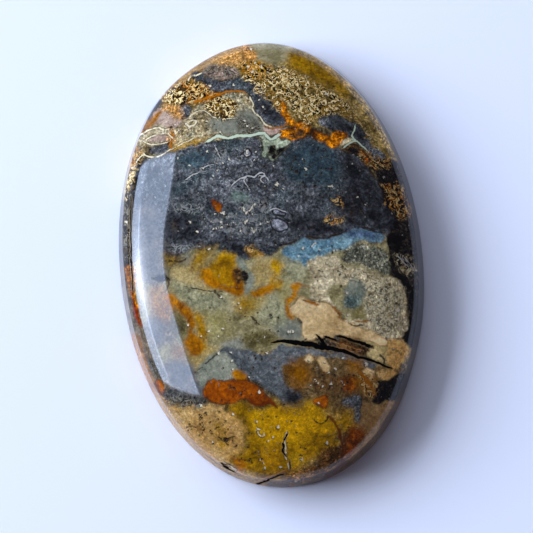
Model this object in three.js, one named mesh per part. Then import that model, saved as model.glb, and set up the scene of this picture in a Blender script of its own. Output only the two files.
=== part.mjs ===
// Palm root agate: one oval cabochon, polished on its dome and sawn flat on its back.
// Millimetres, +Z up. The flat back lies on z = 0, and the long axis is Y.
import * as THREE from 'three';
import { mergeVertices } from 'three/addons/utils/BufferGeometryUtils.js';

// The oval, seen from above
const OVAL_LENGTH = 38.6;
const OVAL_WIDTH = 26.0;
// A plain ellipse has a fullness of 2, and a larger one fills its corners a little more
const OVAL_FULLNESS = 2.08;
// Hand grinding left the oval a little flat at the top left and the bottom right
const GROUND_FLATS = [
  { direction: THREE.MathUtils.degToRad(103), depth: 0.34, spread: THREE.MathUtils.degToRad(13) },
  { direction: THREE.MathUtils.degToRad(316), depth: 0.13, spread: THREE.MathUtils.degToRad(13) },
];

// The section, from the back up
const HEIGHT = 6.6;
const BEVEL_INSET = 0.45;
const BEVEL_HEIGHT = 0.4;
// The wall leans in so that a bezel can hold the stone
const WALL_LEAN = 0.55;
const WALL_TOP = 2.9;
const SHOULDER_INSET = 4.28;
const DOME_RISE = 1.4;
// How far the shoulder's curve keeps to the wall and to the dome at its two ends
const WALL_HOLD = 0.1;
const DOME_HOLD = 3.5;
// The dome meets the shoulder at the same slope all round, as on a wheel-ground stone
const SHOULDER_SLOPE = 2 * DOME_RISE / (OVAL_WIDTH / 2 - SHOULDER_INSET);

// How finely the faces follow the curves
const SEGMENTS = 96;
const SHOULDER_STEPS = 10;
const DOME_STEPS = 8;

// Distance from the centre to the edge of the oval, in one direction
function ovalRadius(angle) {
  const across = Math.abs(2 * Math.cos(angle) / OVAL_WIDTH) ** OVAL_FULLNESS;
  const along = Math.abs(2 * Math.sin(angle) / OVAL_LENGTH) ** OVAL_FULLNESS;
  let radius = (across + along) ** (-1 / OVAL_FULLNESS);
  for (const flat of GROUND_FLATS) {
    const turn = angle - flat.direction;
    const away = Math.atan2(Math.sin(turn), Math.cos(turn)) / flat.spread;
    radius -= flat.depth * Math.exp(-away * away);
  }
  return radius;
}

// The section in one direction, from the middle of the back, out and up, to the top of the dome
function section(angle) {
  const radius = ovalRadius(angle);
  const domeRadius = radius - SHOULDER_INSET;
  const shoulderTop = HEIGHT - DOME_RISE;
  const wallRadius = radius - WALL_LEAN;
  // The shoulder leaves the wall along its lean and meets the dome at the dome's own slope
  const wallEnd = new THREE.Vector2(wallRadius, WALL_TOP);
  const domeEnd = new THREE.Vector2(domeRadius, shoulderTop);
  const upTheWall = new THREE.Vector2(-WALL_LEAN, WALL_TOP - BEVEL_HEIGHT).setLength(WALL_HOLD);
  const downTheDome = new THREE.Vector2(1, -SHOULDER_SLOPE).setLength(DOME_HOLD);
  const shoulder = new THREE.CubicBezierCurve(
    wallEnd,
    wallEnd.clone().add(upTheWall),
    domeEnd.clone().add(downTheDome),
    domeEnd,
  );
  // The long way, the dome stays flatter in the middle and falls faster near its ends
  const crown = SHOULDER_SLOPE * domeRadius / DOME_RISE;
  const points = [
    new THREE.Vector2(0, 0),
    new THREE.Vector2(radius - BEVEL_INSET, 0),
    new THREE.Vector2(radius, BEVEL_HEIGHT),
    ...shoulder.getPoints(SHOULDER_STEPS),
  ];
  for (let step = 1; step <= DOME_STEPS; step += 1) {
    const reach = 1 - step / DOME_STEPS;
    points.push(new THREE.Vector2(domeRadius * reach, HEIGHT - DOME_RISE * reach ** crown));
  }
  return points;
}

// A round turned blank gives the mesh, and each direction of it is then cut to its own section
function cabochonGeometry() {
  const blank = new THREE.LatheGeometry(section(0), SEGMENTS);
  const position = blank.getAttribute('position');
  const stations = section(0).length;
  for (let segment = 0; segment <= SEGMENTS; segment += 1) {
    // The last column of the blank closes on the first, so it takes the same angle
    const angle = 2 * Math.PI * (segment % SEGMENTS) / SEGMENTS;
    section(angle).forEach((point, station) => {
      const vertex = segment * stations + station;
      position.setXYZ(vertex, point.x * Math.cos(angle), point.x * Math.sin(angle), point.y);
    });
  }
  blank.deleteAttribute('normal');
  blank.deleteAttribute('uv');
  const solid = mergeVertices(blank);
  // The oval's box is centred on the origin, and the back stays on z = 0
  solid.computeBoundingBox();
  const middle = solid.boundingBox.getCenter(new THREE.Vector3());
  solid.translate(-middle.x, -middle.y, 0);
  solid.computeVertexNormals();
  return solid;
}

// Polished chalcedony, slate and ochre taken together
const agate = new THREE.MeshStandardMaterial({ color: 0x6f6a5c, roughness: 0.06, metalness: 0 });

const cabochon = new THREE.Mesh(cabochonGeometry(), agate);
cabochon.name = 'cabochon';

const stone = new THREE.Group();
stone.add(cabochon);

export default stone;
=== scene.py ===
# Palm root agate cabochon: the polished stone with its mineral pattern, laid over the imported solid.
# The pattern is drawn: each patch and vein is a named shape, placed in the photograph's pixels.
import math

import bpy
import numpy as np
from mathutils import Matrix, Vector


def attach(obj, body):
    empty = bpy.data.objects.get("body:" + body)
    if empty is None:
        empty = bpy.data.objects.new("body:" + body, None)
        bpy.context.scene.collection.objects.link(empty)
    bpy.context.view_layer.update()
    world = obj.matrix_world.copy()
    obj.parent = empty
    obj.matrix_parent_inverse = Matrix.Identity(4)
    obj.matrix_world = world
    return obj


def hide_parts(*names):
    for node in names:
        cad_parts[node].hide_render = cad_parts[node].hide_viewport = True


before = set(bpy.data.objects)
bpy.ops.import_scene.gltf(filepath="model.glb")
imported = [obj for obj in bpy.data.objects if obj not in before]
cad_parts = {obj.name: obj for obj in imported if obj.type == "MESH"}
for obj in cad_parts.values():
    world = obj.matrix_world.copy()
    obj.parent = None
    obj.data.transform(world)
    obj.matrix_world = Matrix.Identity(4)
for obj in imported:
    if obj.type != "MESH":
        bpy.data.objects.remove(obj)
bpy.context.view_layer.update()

MM = 0.001

# The stone's own measures, in millimetres, as in the part's source
OVAL_LENGTH = 38.6
OVAL_WIDTH = 26.0
OVAL_FULLNESS = 2.08
# Direction in degrees, depth and spread in degrees of the two flats left by hand grinding
GROUND_FLATS = ((103, 0.34, 13), (316, 0.13, 13))
HEIGHT = 6.6
BEVEL_INSET = 0.45
BEVEL_HEIGHT = 0.4
WALL_LEAN = 0.55
WALL_TOP = 2.9
SHOULDER_INSET = 4.28
DOME_RISE = 1.4
WALL_HOLD = 0.1
DOME_HOLD = 3.5
SHOULDER_SLOPE = 2 * DOME_RISE / (OVAL_WIDTH / 2 - SHOULDER_INSET)

# How the photograph shows the stone: a square frame, and a camera that looks down on it from a little
# towards the frame's lower edge. The aim is given from the oval's centre, in millimetres.
FRAME_PIXELS = 533
FOCAL_PIXELS = 2329.4
CAMERA_DISTANCE = 200.0
CAMERA_AIM = np.array((-0.418, -0.325, 0.4))
CAMERA_ROLL = math.radians(6.22)
CAMERA_TILT = math.radians(7.0)
TILT_TURN = math.radians(15.0)
IMAGE_RIGHT = np.array((math.cos(CAMERA_ROLL), -math.sin(CAMERA_ROLL)))
IMAGE_UP = np.array((math.sin(CAMERA_ROLL), math.cos(CAMERA_ROLL)))

# How far from a drawn edge its distance is still kept, in pixels
REACH = 10.0
# How far from a fleck's middle its place is still kept, and what stands for no fleck, in fleck radii
FLECK_REACH = 5.0
NO_FLECK = 9.0


def oval_radius(angle):
    """Distance from the centre to the edge of the oval, in millimetres."""
    across = np.abs(2 * np.cos(angle) / OVAL_WIDTH) ** OVAL_FULLNESS
    along = np.abs(2 * np.sin(angle) / OVAL_LENGTH) ** OVAL_FULLNESS
    radius = (across + along) ** (-1 / OVAL_FULLNESS)
    for direction, depth, spread in GROUND_FLATS:
        turn = angle - math.radians(direction)
        away = np.arctan2(np.sin(turn), np.cos(turn)) / math.radians(spread)
        radius = radius - depth * np.exp(-away ** 2)
    return radius


def oval_middle():
    """Middle of the oval's box, which the part is centred on."""
    angle = np.linspace(0, 2 * math.pi, 1441)
    radius = oval_radius(angle)
    x = radius * np.cos(angle)
    y = radius * np.sin(angle)
    return np.array(((x.min() + x.max()) / 2, (y.min() + y.max()) / 2))


MIDDLE = oval_middle()


def camera_axes():
    """The camera's right, up and backward directions."""
    tilt_way = math.sin(TILT_TURN) * IMAGE_RIGHT - math.cos(TILT_TURN) * IMAGE_UP
    backward = np.array((*(math.sin(CAMERA_TILT) * tilt_way), math.cos(CAMERA_TILT)))
    level_up = np.array((*IMAGE_UP, 0))
    upward = level_up - level_up.dot(backward) * backward
    upward /= np.linalg.norm(upward)
    return np.cross(upward, backward), upward, backward


CAMERA_RIGHT, CAMERA_UP, CAMERA_BACK = camera_axes()
CAMERA_SPOT = CAMERA_AIM - (*MIDDLE, 0) + CAMERA_DISTANCE * CAMERA_BACK


def photo_pixels(points):
    """Where the photograph shows points of the stone given in millimetres."""
    away = points - CAMERA_SPOT
    share = FOCAL_PIXELS / -(away @ CAMERA_BACK)
    return FRAME_PIXELS / 2 + np.column_stack((away @ CAMERA_RIGHT, -(away @ CAMERA_UP))) * share[:, None]


# The mesh: a square grid bent into the oval, then rings down the wall and the bevel
GRID_ACROSS = 224
GRID_ALONG = 332
# The dome takes this share of the grid's reach, and the shoulder takes the rest
DOME_SHARE = 0.66
# Below 1, the shoulder's rows lie a little less close near the wall
SHOULDER_SPACING = 0.8
WALL_STRIPS = 8
BEVEL_STRIPS = 3
# The back's grid is so many times coarser, and ends just inside the bevel
BACK_STEP = 4
BACK_SHARE = 0.99
# How far above the back its own pattern reaches, in millimetres
BACK_REACH = 0.02
# How far the skin's texture spreads for each millimetre that the dome falls, and for each ring
FALL_SHARE = 0.8
RING_ROOM = 0.2


def disc_grid(across, along):
    """Points of a square grid bent into a disc: how far out each lies, and its direction."""
    a, b = np.meshgrid(np.linspace(-1, 1, across + 1), np.linspace(-1, 1, along + 1))
    reach = np.maximum(np.abs(a), np.abs(b))
    with np.errstate(divide="ignore", invalid="ignore"):
        sideways = np.where(a == 0, 0, math.pi / 4 * b / a)
        lengthways = math.pi / 2 - np.where(b == 0, 0, math.pi / 4 * a / b)
    wide = np.abs(a) > np.abs(b)
    turn = np.where(wide, sideways, lengthways)
    turn = turn + np.where(np.where(wide, a, b) < 0, math.pi, 0)
    direction = np.arctan2(np.sin(turn) * OVAL_LENGTH, np.cos(turn) * OVAL_WIDTH)
    return reach.ravel(), direction.ravel()


def grid_faces(across, along, start=0, facing_up=True):
    """Four-sided faces of a grid whose points run row by row from number start."""
    corner = start + np.arange(along)[:, None] * (across + 1) + np.arange(across)[None, :]
    quads = np.stack((corner, corner + 1, corner + across + 2, corner + across + 1), axis=-1)
    quads = quads.reshape(-1, 4)
    return quads if facing_up else quads[:, ::-1]


def grid_edge(across, along, start=0):
    """Numbers of the grid's outer points, once round, anticlockwise from above."""
    row = across + 1
    bottom = np.arange(across)
    right = np.arange(along) * row + across
    top = along * row + np.arange(across, 0, -1)
    left = np.arange(along, 0, -1) * row
    return start + np.concatenate((bottom, right, top, left))


def polar(radius, direction, height):
    """Points at these distances from the middle, in these directions and at these heights."""
    return np.stack((radius * np.cos(direction), radius * np.sin(direction), height), axis=1)


def shoulder_curve(along):
    """Inset from the oval and height on the shoulder, from the wall (along 0) to the dome (along 1)."""
    wall_way = np.array((WALL_LEAN, WALL_TOP - BEVEL_HEIGHT))
    dome_way = np.array((1, SHOULDER_SLOPE))
    start = np.array((WALL_LEAN, WALL_TOP))
    end = np.array((SHOULDER_INSET, HEIGHT - DOME_RISE))
    after_start = start + wall_way * WALL_HOLD / np.linalg.norm(wall_way)
    before_end = end - dome_way * DOME_HOLD / np.linalg.norm(dome_way)
    along = along[:, None]
    back = 1 - along
    curve = back ** 3 * start + 3 * back ** 2 * along * after_start
    curve = curve + 3 * back * along ** 2 * before_end + along ** 3 * end
    return curve[:, 0], curve[:, 1]


def dome_points(reach, direction):
    """The dome and its shoulder, from the middle (reach 0) out to the wall (reach 1)."""
    radius = oval_radius(direction)
    dome_radius = radius - SHOULDER_INSET
    inner = np.minimum(reach / DOME_SHARE, 1)
    crown = SHOULDER_SLOPE * dome_radius / DOME_RISE
    dome_height = HEIGHT - DOME_RISE * inner ** crown
    up_the_shoulder = np.clip((1 - reach) / (1 - DOME_SHARE), 0, 1) ** SHOULDER_SPACING
    inset, shoulder_height = shoulder_curve(up_the_shoulder)
    on_dome = reach <= DOME_SHARE
    out = np.where(on_dome, dome_radius * inner, radius - inset)
    return polar(out, direction, np.where(on_dome, dome_height, shoulder_height))


def side_stations():
    """Inset from the oval and height of each ring, down the wall and then in over the bevel."""
    stations = []
    for step in range(1, WALL_STRIPS + 1):
        down = step / WALL_STRIPS
        stations.append((WALL_LEAN * (1 - down), WALL_TOP + (BEVEL_HEIGHT - WALL_TOP) * down))
    for step in range(1, BEVEL_STRIPS + 1):
        down = step / BEVEL_STRIPS
        stations.append((BEVEL_INSET * down, BEVEL_HEIGHT * (1 - down)))
    return stations


def build_stone():
    """Points in millimetres, their reach when unrolled, the faces, and how many come before the back's."""
    reach, direction = disc_grid(GRID_ACROSS, GRID_ALONG)
    dome = dome_points(reach, direction)
    parts = [dome]
    unrolled = [np.hypot(dome[:, 0], dome[:, 1]) + FALL_SHARE * (HEIGHT - dome[:, 2])]
    faces = grid_faces(GRID_ACROSS, GRID_ALONG).tolist()
    ring = grid_edge(GRID_ACROSS, GRID_ALONG)
    rim_direction = direction[ring]
    rim = oval_radius(rim_direction)
    count = len(ring)
    total = len(dome)
    spread = unrolled[0][ring]
    for inset, height in side_stations():
        parts.append(polar(rim - inset, rim_direction, np.full(count, height)))
        spread = spread + RING_ROOM
        unrolled.append(spread)
        lower = total + np.arange(count)
        faces += np.stack((ring, lower, np.roll(lower, -1), np.roll(ring, -1)), axis=1).tolist()
        ring = lower
        total += count
    side_faces = len(faces)
    # The back: a coarser grid just inside the bevel, joined to the last ring by a band
    back_across = GRID_ACROSS // BACK_STEP
    back_along = GRID_ALONG // BACK_STEP
    back_reach, back_direction = disc_grid(back_across, back_along)
    back_radius = (oval_radius(back_direction) - BEVEL_INSET) * back_reach * BACK_SHARE
    parts.append(polar(back_radius, back_direction, np.zeros(len(back_radius))))
    unrolled.append(back_radius)
    faces += grid_faces(back_across, back_along, total, facing_up=False).tolist()
    inner = grid_edge(back_across, back_along, total)
    for step, (here, after) in enumerate(zip(inner.tolist(), np.roll(inner, -1).tolist())):
        outer = ring[np.arange(BACK_STEP * step, BACK_STEP * (step + 1) + 1) % count]
        faces.append([here, after, *outer[::-1].tolist()])
    points = np.concatenate(parts)
    points[:, :2] -= MIDDLE
    return points, np.concatenate(unrolled), faces, side_faces


def pattern_points(points):
    """Where in the photograph each point takes its pattern from. The back is another cut."""
    x, y = points[:, 0], points[:, 1]
    flat = np.clip(1 - points[:, 2] / BACK_REACH, 0, 1)
    # The back's pattern is bent in waves that die out at the rim
    inside = 1 - np.clip(np.hypot(x / OVAL_WIDTH, y / OVAL_LENGTH) * 2, 0, 1) ** 2
    x = x + flat * inside * (1.6 * np.sin(0.31 * y + 0.6) - 0.9)
    y = y + flat * inside * (2.4 * np.sin(0.37 * x - 0.4) + 1.3)
    return photo_pixels(np.stack((x, y, points[:, 2]), axis=1))


# Colours are written as the photograph shows them, from 0 to 255, in the window's cool light
LIGHT_TINT = np.array((0.90, 0.98, 1.28))
LIGHTEST = 0.9


def paint(seen):
    """Own colour of a mineral that looks like this in the photograph's light."""
    share = np.array(seen) / 255
    # A picture's numbers follow this curve, and a shader's are linear
    linear = np.where(share <= 0.04045, share / 12.92, ((share + 0.055) / 1.055) ** 2.4)
    return (*np.clip(linear / LIGHT_TINT, 0, LIGHTEST).tolist(), 1.0)


# The patches of each mineral, in the order that they lie over each other. The edge is how soft the
# outline is and ragged how far it wanders, both in pixels. The noise says which of three noises moves
# the outline, and the tone which of five mixes the tones, which are dark, middle and light. The stain
# is a second colour with its share, the rim is a thin line along the outline with its strength, and
# grit is how strongly the fine grain shows.
MINERALS = []


def lay_mineral(name, edge, ragged, noise, tone, grit, tones, stain=None, rim=((0, 0, 0), 0.0), **outlines):
    """One more mineral over those that lie below it, with its patches."""
    MINERALS.append({
        "name": name, "edge": edge, "ragged": ragged, "noise": noise, "tone": tone, "grit": grit,
        "tones": tones, "stain": stain or (tones[1], 0.0), "rim": rim, "outlines": outlines,
    })


lay_mineral(
    "khaki", edge=2.0, ragged=6.0, noise=0, tone=0, grit=0.8,
    tones=((50, 39, 15), (98, 81, 39), (144, 126, 78)), stain=((128, 96, 34), 0.4),
    top=[(100, 170), (112, 120), (150, 70), (200, 30), (250, 20), (310, 28), (352, 56), (392, 108),
        (418, 162), (392, 160), (370, 154), (357, 144), (340, 133), (322, 126), (302, 132), (284, 128),
        (262, 130), (240, 139), (225, 140), (208, 144), (187, 147), (165, 156), (143, 162), (118, 172)],
)
lay_mineral(
    "capstone", edge=6.0, ragged=8.0, noise=2, tone=3, grit=0.16,
    tones=((112, 106, 78), (143, 137, 110), (166, 162, 142)),
    cap=[(250, 36), (262, 34), (290, 36), (312, 44), (330, 58), (344, 76), (330, 66), (312, 56), (300, 52),
        (290, 56), (284, 62), (272, 65), (262, 63), (255, 56)],
)
lay_mineral(
    "speckled_brown", edge=3.0, ragged=7.0, noise=1, tone=0, grit=0.75,
    tones=((58, 46, 22), (100, 83, 45), (140, 120, 76)), stain=((104, 88, 40), 0.4),
    shoulder=[(340, 62), (358, 66), (380, 90), (402, 122), (420, 164), (396, 162), (386, 152), (376, 144),
        (366, 132), (356, 122), (348, 110), (346, 96), (340, 84), (336, 72)],
)
lay_mineral(
    "under_arch", edge=3.0, ragged=8.0, noise=2, tone=1, grit=0.8,
    tones=((100, 86, 62), (144, 130, 100), (176, 166, 140)), stain=((134, 142, 132), 0.42),
    field=[(172, 126), (184, 116), (196, 106), (206, 98), (220, 94), (234, 92), (246, 93), (252, 102),
        (255, 112), (262, 122), (272, 130), (286, 128), (286, 138), (262, 138), (240, 140), (215, 142),
        (190, 147), (170, 151), (150, 159), (138, 160), (134, 142), (146, 126), (160, 120)],
)
lay_mineral(
    "sage", edge=2.5, ragged=7.0, noise=1, tone=3, grit=0.3,
    tones=((90, 84, 56), (130, 123, 90), (164, 156, 126)), stain=((122, 112, 54), 0.3),
    field=[(131, 262), (150, 256), (163, 248), (190, 246), (221, 249), (247, 256), (283, 246), (310, 262),
        (320, 272), (314, 298), (302, 300), (292, 310), (298, 322), (304, 343), (290, 347), (262, 352),
        (222, 353), (204, 366), (196, 386), (172, 388), (154, 372), (144, 345), (135, 300)],
    under_the_blue=[(296, 258), (320, 250), (345, 244), (385, 244), (394, 262), (400, 282), (372, 300),
        (366, 330), (350, 324), (340, 316), (330, 300), (308, 292)],
)
lay_mineral(
    "mist", edge=6.0, ragged=9.0, noise=0, tone=4, grit=0.2,
    tones=((98, 102, 96), (122, 126, 118), (146, 150, 142)),
    over_the_crack=[(274, 324), (288, 318), (302, 324), (304, 338), (290, 343), (276, 338)],
    above_the_band=[(222, 344), (236, 338), (246, 342), (244, 348), (228, 350)],
    left_pool=[(182, 254), (190, 252), (194, 258), (190, 266), (182, 266), (178, 260)],
    by_the_blue=[(284, 258), (296, 260), (304, 268), (298, 276), (286, 272)],
    under_the_arch=[(212, 120), (230, 114), (250, 108), (262, 124), (262, 134), (236, 136), (214, 134)],
)
lay_mineral(
    "sage_smear", edge=9.0, ragged=12.0, noise=0, tone=2, grit=0.3,
    tones=((96, 98, 78), (138, 138, 112), (164, 162, 134)),
    middle=[(256, 296), (270, 290), (286, 296), (290, 312), (282, 324), (266, 326), (254, 312)],
    left=[(172, 280), (192, 278), (212, 288), (226, 302), (216, 314), (196, 308), (180, 296)],
    upper=[(284, 262), (300, 258), (308, 266), (304, 282), (290, 286), (282, 274)],
)
lay_mineral(
    "left_dusk", edge=5.0, ragged=8.0, noise=1, tone=1, grit=0.35,
    tones=((66, 58, 54), (102, 92, 82), (138, 126, 114)),
    grey_mauve=[(150, 318), (164, 316), (176, 326), (178, 342), (166, 344), (154, 340)],
    foot=[(158, 366), (172, 362), (188, 364), (200, 376), (200, 398), (184, 396), (166, 390)],
    outer=[(134, 330), (146, 326), (158, 352), (166, 376), (152, 376), (140, 352)],
    outer_wall=[(108, 248), (122, 250), (125, 262), (126, 280), (130, 300), (133, 320), (138, 336),
        (128, 338), (112, 330)],
)
lay_mineral(
    "rim_tan", edge=2.5, ragged=6.0, noise=2, tone=4, grit=0.45,
    tones=((96, 58, 22), (144, 100, 54), (190, 144, 94)),
    left_upper=[(118, 184), (126, 182), (128, 196), (124, 206), (116, 206)],
    left_outer=[(128, 336), (138, 336), (144, 352), (150, 368), (156, 384), (166, 402), (180, 420),
        (200, 444), (226, 466), (256, 482), (290, 484), (320, 476), (350, 456), (380, 420), (392, 396),
        (410, 396), (390, 450), (340, 500), (250, 504), (170, 450), (126, 370)],
)
lay_mineral(
    "rim_gold", edge=1.6, ragged=5.0, noise=0, tone=1, grit=0.8,
    tones=((84, 40, 0), (162, 94, 0), (212, 142, 20)),
    golden=[(125, 254), (130, 262), (134, 266), (135, 280), (136, 296), (140, 310), (134, 306), (128, 288),
        (125, 270)],
    orange_fleck=[(127, 194), (132, 190), (134, 196), (131, 202), (127, 200)],
    blob=[(131, 160), (136, 154), (141, 156), (139, 162), (134, 167), (130, 166)],
)
lay_mineral(
    "brick", edge=1.6, ragged=4.0, noise=2, tone=3, grit=0.6,
    tones=((76, 18, 0), (112, 34, 4), (144, 62, 16)),
    red=[(131, 284), (134, 296), (137, 308), (141, 320), (143, 328), (138, 324), (134, 312), (131, 298)],
    orange_foot=[(250, 399), (256, 396), (264, 396), (272, 401), (268, 405), (258, 406), (251, 404)],
)
lay_mineral(
    "left_orange", edge=6.0, ragged=9.0, noise=2, tone=4, grit=0.4,
    tones=((96, 66, 34), (138, 100, 56), (166, 130, 84)),
    upper=[(148, 292), (158, 286), (168, 290), (174, 304), (172, 318), (160, 320), (150, 310)],
    lower=[(172, 350), (180, 346), (188, 350), (192, 360), (186, 364), (176, 360)],
)
lay_mineral(
    "taupe", edge=4.0, ragged=9.0, noise=1, tone=1, grit=0.5,
    tones=((62, 48, 27), (84, 66, 40), (106, 88, 60)), stain=((110, 62, 20), 0.36),
    lower_right=[(262, 354), (275, 352), (300, 347), (322, 351), (345, 356), (365, 358), (385, 366),
        (400, 366), (405, 380), (400, 400), (385, 404), (362, 404), (350, 412), (335, 415), (306, 406),
        (298, 402), (288, 388), (278, 368)],
)
lay_mineral(
    "sandstone", edge=3.0, ragged=8.0, noise=0, tone=4, grit=0.25,
    tones=((70, 51, 27), (100, 76, 46), (132, 106, 72)), stain=((96, 62, 26), 0.3),
    lower_right_rim=[(356, 404), (372, 402), (384, 404), (396, 396), (406, 398), (392, 430), (372, 456),
        (350, 474), (340, 466), (348, 446), (352, 430), (352, 414)],
    bottom_rim=[(240, 474), (262, 478), (284, 476), (304, 468), (322, 458), (336, 452), (346, 466),
        (330, 486), (300, 496), (262, 496), (236, 486)],
    tan_mottle=[(196, 410), (208, 406), (216, 414), (214, 430), (206, 440), (198, 430)],
)
lay_mineral(
    "tan", edge=3.0, ragged=9.0, noise=2, tone=4, grit=0.36,
    tones=((122, 90, 48), (164, 130, 78), (196, 166, 114)), stain=((130, 106, 62), 0.25),
    lower_left=[(146, 388), (170, 402), (190, 405), (213, 404), (226, 410), (238, 414), (244, 428),
        (244, 444), (238, 456), (230, 462), (240, 472), (262, 480), (262, 490), (226, 480), (182, 446),
        (150, 408)],
    lobe=[(383, 340), (390, 337), (398, 338), (404, 342), (408, 348), (408, 356), (405, 360), (400, 364),
        (396, 367), (391, 366), (386, 361), (385, 354), (384, 347)],
    upper_rim=[(160, 98), (164, 84), (176, 70), (188, 58), (206, 46), (226, 38), (240, 38), (246, 46),
        (250, 56), (244, 64), (232, 68), (216, 66), (204, 68), (192, 78), (178, 90), (168, 98)],
    lobe_foot=[(379, 374), (386, 371), (394, 372), (393, 379), (383, 381)],
)
lay_mineral(
    "straw", edge=5.0, ragged=9.0, noise=1, tone=4, grit=0.28,
    tones=((122, 104, 62), (156, 138, 92), (186, 168, 122)),
    below_the_streak=[(188, 354), (200, 350), (212, 346), (216, 352), (206, 362), (198, 370), (186, 366),
        (182, 358)],
    beside_the_yellow=[(256, 260), (268, 258), (276, 264), (274, 278), (264, 284), (254, 282), (252, 268)],
    by_the_crescent=[(254, 296), (264, 293), (268, 298), (262, 305), (254, 304)],
    above_the_thread=[(176, 268), (196, 272), (210, 286), (206, 290), (186, 286), (174, 278)],
    by_the_lobe=[(362, 340), (386, 338), (387, 350), (386, 362), (376, 364), (366, 354)],
)
lay_mineral(
    "wash", edge=8.0, ragged=10.0, noise=2, tone=4, grit=0.25,
    tones=((112, 104, 58), (140, 132, 84), (164, 156, 112)),
    by_the_glow=[(204, 314), (216, 312), (228, 322), (222, 334), (208, 336)],
    by_the_loop=[(281, 284), (289, 282), (292, 292), (288, 302), (282, 300)],
    by_the_cloud=[(246, 290), (256, 294), (262, 306), (254, 316), (244, 312)],
)
lay_mineral(
    "olive", edge=5.0, ragged=9.0, noise=0, tone=3, grit=0.4,
    tones=((62, 54, 30), (98, 90, 56), (126, 118, 82)),
    left_of_the_glow=[(174, 312), (186, 316), (188, 330), (182, 340), (176, 330)],
    fan=[(352, 312), (358, 306), (364, 303), (368, 308), (367, 315), (362, 319), (355, 320), (352, 316)],
    under_the_sage=[(244, 334), (258, 329), (272, 333), (280, 338), (278, 344), (262, 348), (246, 345)],
)
lay_mineral(
    "bluegrey", edge=1.8, ragged=6.0, noise=1, tone=0, grit=0.38,
    tones=((60, 65, 72), (80, 86, 93), (104, 110, 116)), stain=((104, 112, 106), 0.3),
    band=[(220, 350), (228, 346), (238, 349), (247, 350), (256, 352), (262, 354), (268, 356), (275, 350),
        (280, 345), (290, 346), (300, 347), (312, 348), (322, 351), (332, 353), (342, 354), (350, 357),
        (358, 359), (363, 358), (370, 361), (376, 365), (373, 370), (369, 372), (365, 368), (358, 366),
        (350, 361), (342, 360), (330, 357), (322, 359), (315, 355), (306, 355), (300, 358), (296, 362),
        (290, 364), (284, 366), (282, 373), (285, 381), (292, 388), (300, 394), (304, 402), (297, 407),
        (288, 406), (282, 401), (276, 394), (268, 390), (262, 387), (256, 382), (248, 379), (240, 373),
        (233, 367), (228, 362), (220, 358)],
)
lay_mineral(
    "mauve", edge=2.5, ragged=5.0, noise=2, tone=4, grit=0.3,
    tones=((138, 118, 112), (170, 148, 140), (196, 176, 168)),
    upper_left=[(152, 114), (160, 108), (172, 106), (182, 112), (184, 120), (178, 127), (168, 130),
        (156, 128), (150, 122)],
    over_the_bar=[(264, 128), (276, 128), (284, 129), (282, 134), (274, 135), (264, 133)],
    first_cell=[(149, 136), (158, 133), (167, 134), (169, 140), (160, 143), (150, 142)],
    cap_brown=[(202, 73), (209, 66), (222, 65), (236, 69), (238, 76), (222, 79), (206, 78)],
)
lay_mineral(
    "slate", edge=1.4, ragged=5.0, noise=0, tone=0, grit=0.85,
    tones=((38, 40, 46), (66, 70, 78), (96, 100, 108)), stain=((58, 70, 76), 0.4), rim=((44, 34, 26), 0.4),
    field=[(118, 176), (143, 161), (150, 159), (158, 158), (166, 155), (172, 151), (180, 148), (190, 145),
        (200, 142), (207, 141), (213, 140), (225, 139), (240, 138), (255, 137), (264, 144), (266, 153),
        (275, 158), (285, 150), (292, 141), (300, 138), (310, 138), (318, 142), (328, 145), (337, 148),
        (345, 151), (355, 155), (361, 159), (366, 166), (372, 173), (378, 180), (383, 186), (385, 200),
        (391, 208), (398, 216), (406, 222), (412, 228), (424, 244), (424, 262), (405, 250), (394, 248),
        (388, 234), (382, 233), (372, 230), (363, 228), (352, 228), (345, 232), (336, 236), (330, 238),
        (320, 239), (312, 238), (303, 238), (299, 241), (292, 244), (283, 246), (279, 250), (273, 254),
        (266, 255), (258, 254), (252, 257), (247, 260), (240, 258), (232, 254), (226, 252), (221, 252),
        (219, 243), (209, 246), (203, 249), (196, 248), (190, 249), (184, 254), (176, 257), (168, 256),
        (163, 250), (150, 256), (131, 262), (112, 262), (112, 215)],
    lobe=[(192, 74), (200, 72), (207, 75), (220, 80), (240, 76), (252, 80), (258, 84), (262, 92), (270, 99),
        (276, 104), (284, 116), (288, 122), (282, 127), (266, 124), (257, 113), (251, 98), (246, 92),
        (240, 90), (230, 90), (222, 91), (213, 93), (206, 86), (196, 80)],
    top_right=[(320, 117), (333, 114), (341, 116), (350, 122), (357, 124), (362, 129), (368, 137),
        (374, 145), (382, 152), (387, 158), (378, 160), (370, 154), (364, 149), (357, 143), (352, 138),
        (347, 137), (340, 131), (330, 130), (320, 124)],
    blotch=[(177, 106), (186, 104), (191, 110), (188, 118), (180, 118), (176, 112)],
    sliver=[(148, 116), (152, 107), (160, 98), (163, 101), (156, 110), (150, 120)],
    second_cell=[(149, 148), (158, 145), (168, 143), (171, 148), (162, 153), (151, 154)],
    under_the_crack=[(326, 345), (345, 349), (366, 356), (370, 362), (345, 356), (328, 350)],
    slate_drip=[(342, 402), (348, 398), (356, 396), (361, 400), (360, 408), (361, 418), (357, 424),
        (353, 420), (354, 410), (346, 408)],
)
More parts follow.
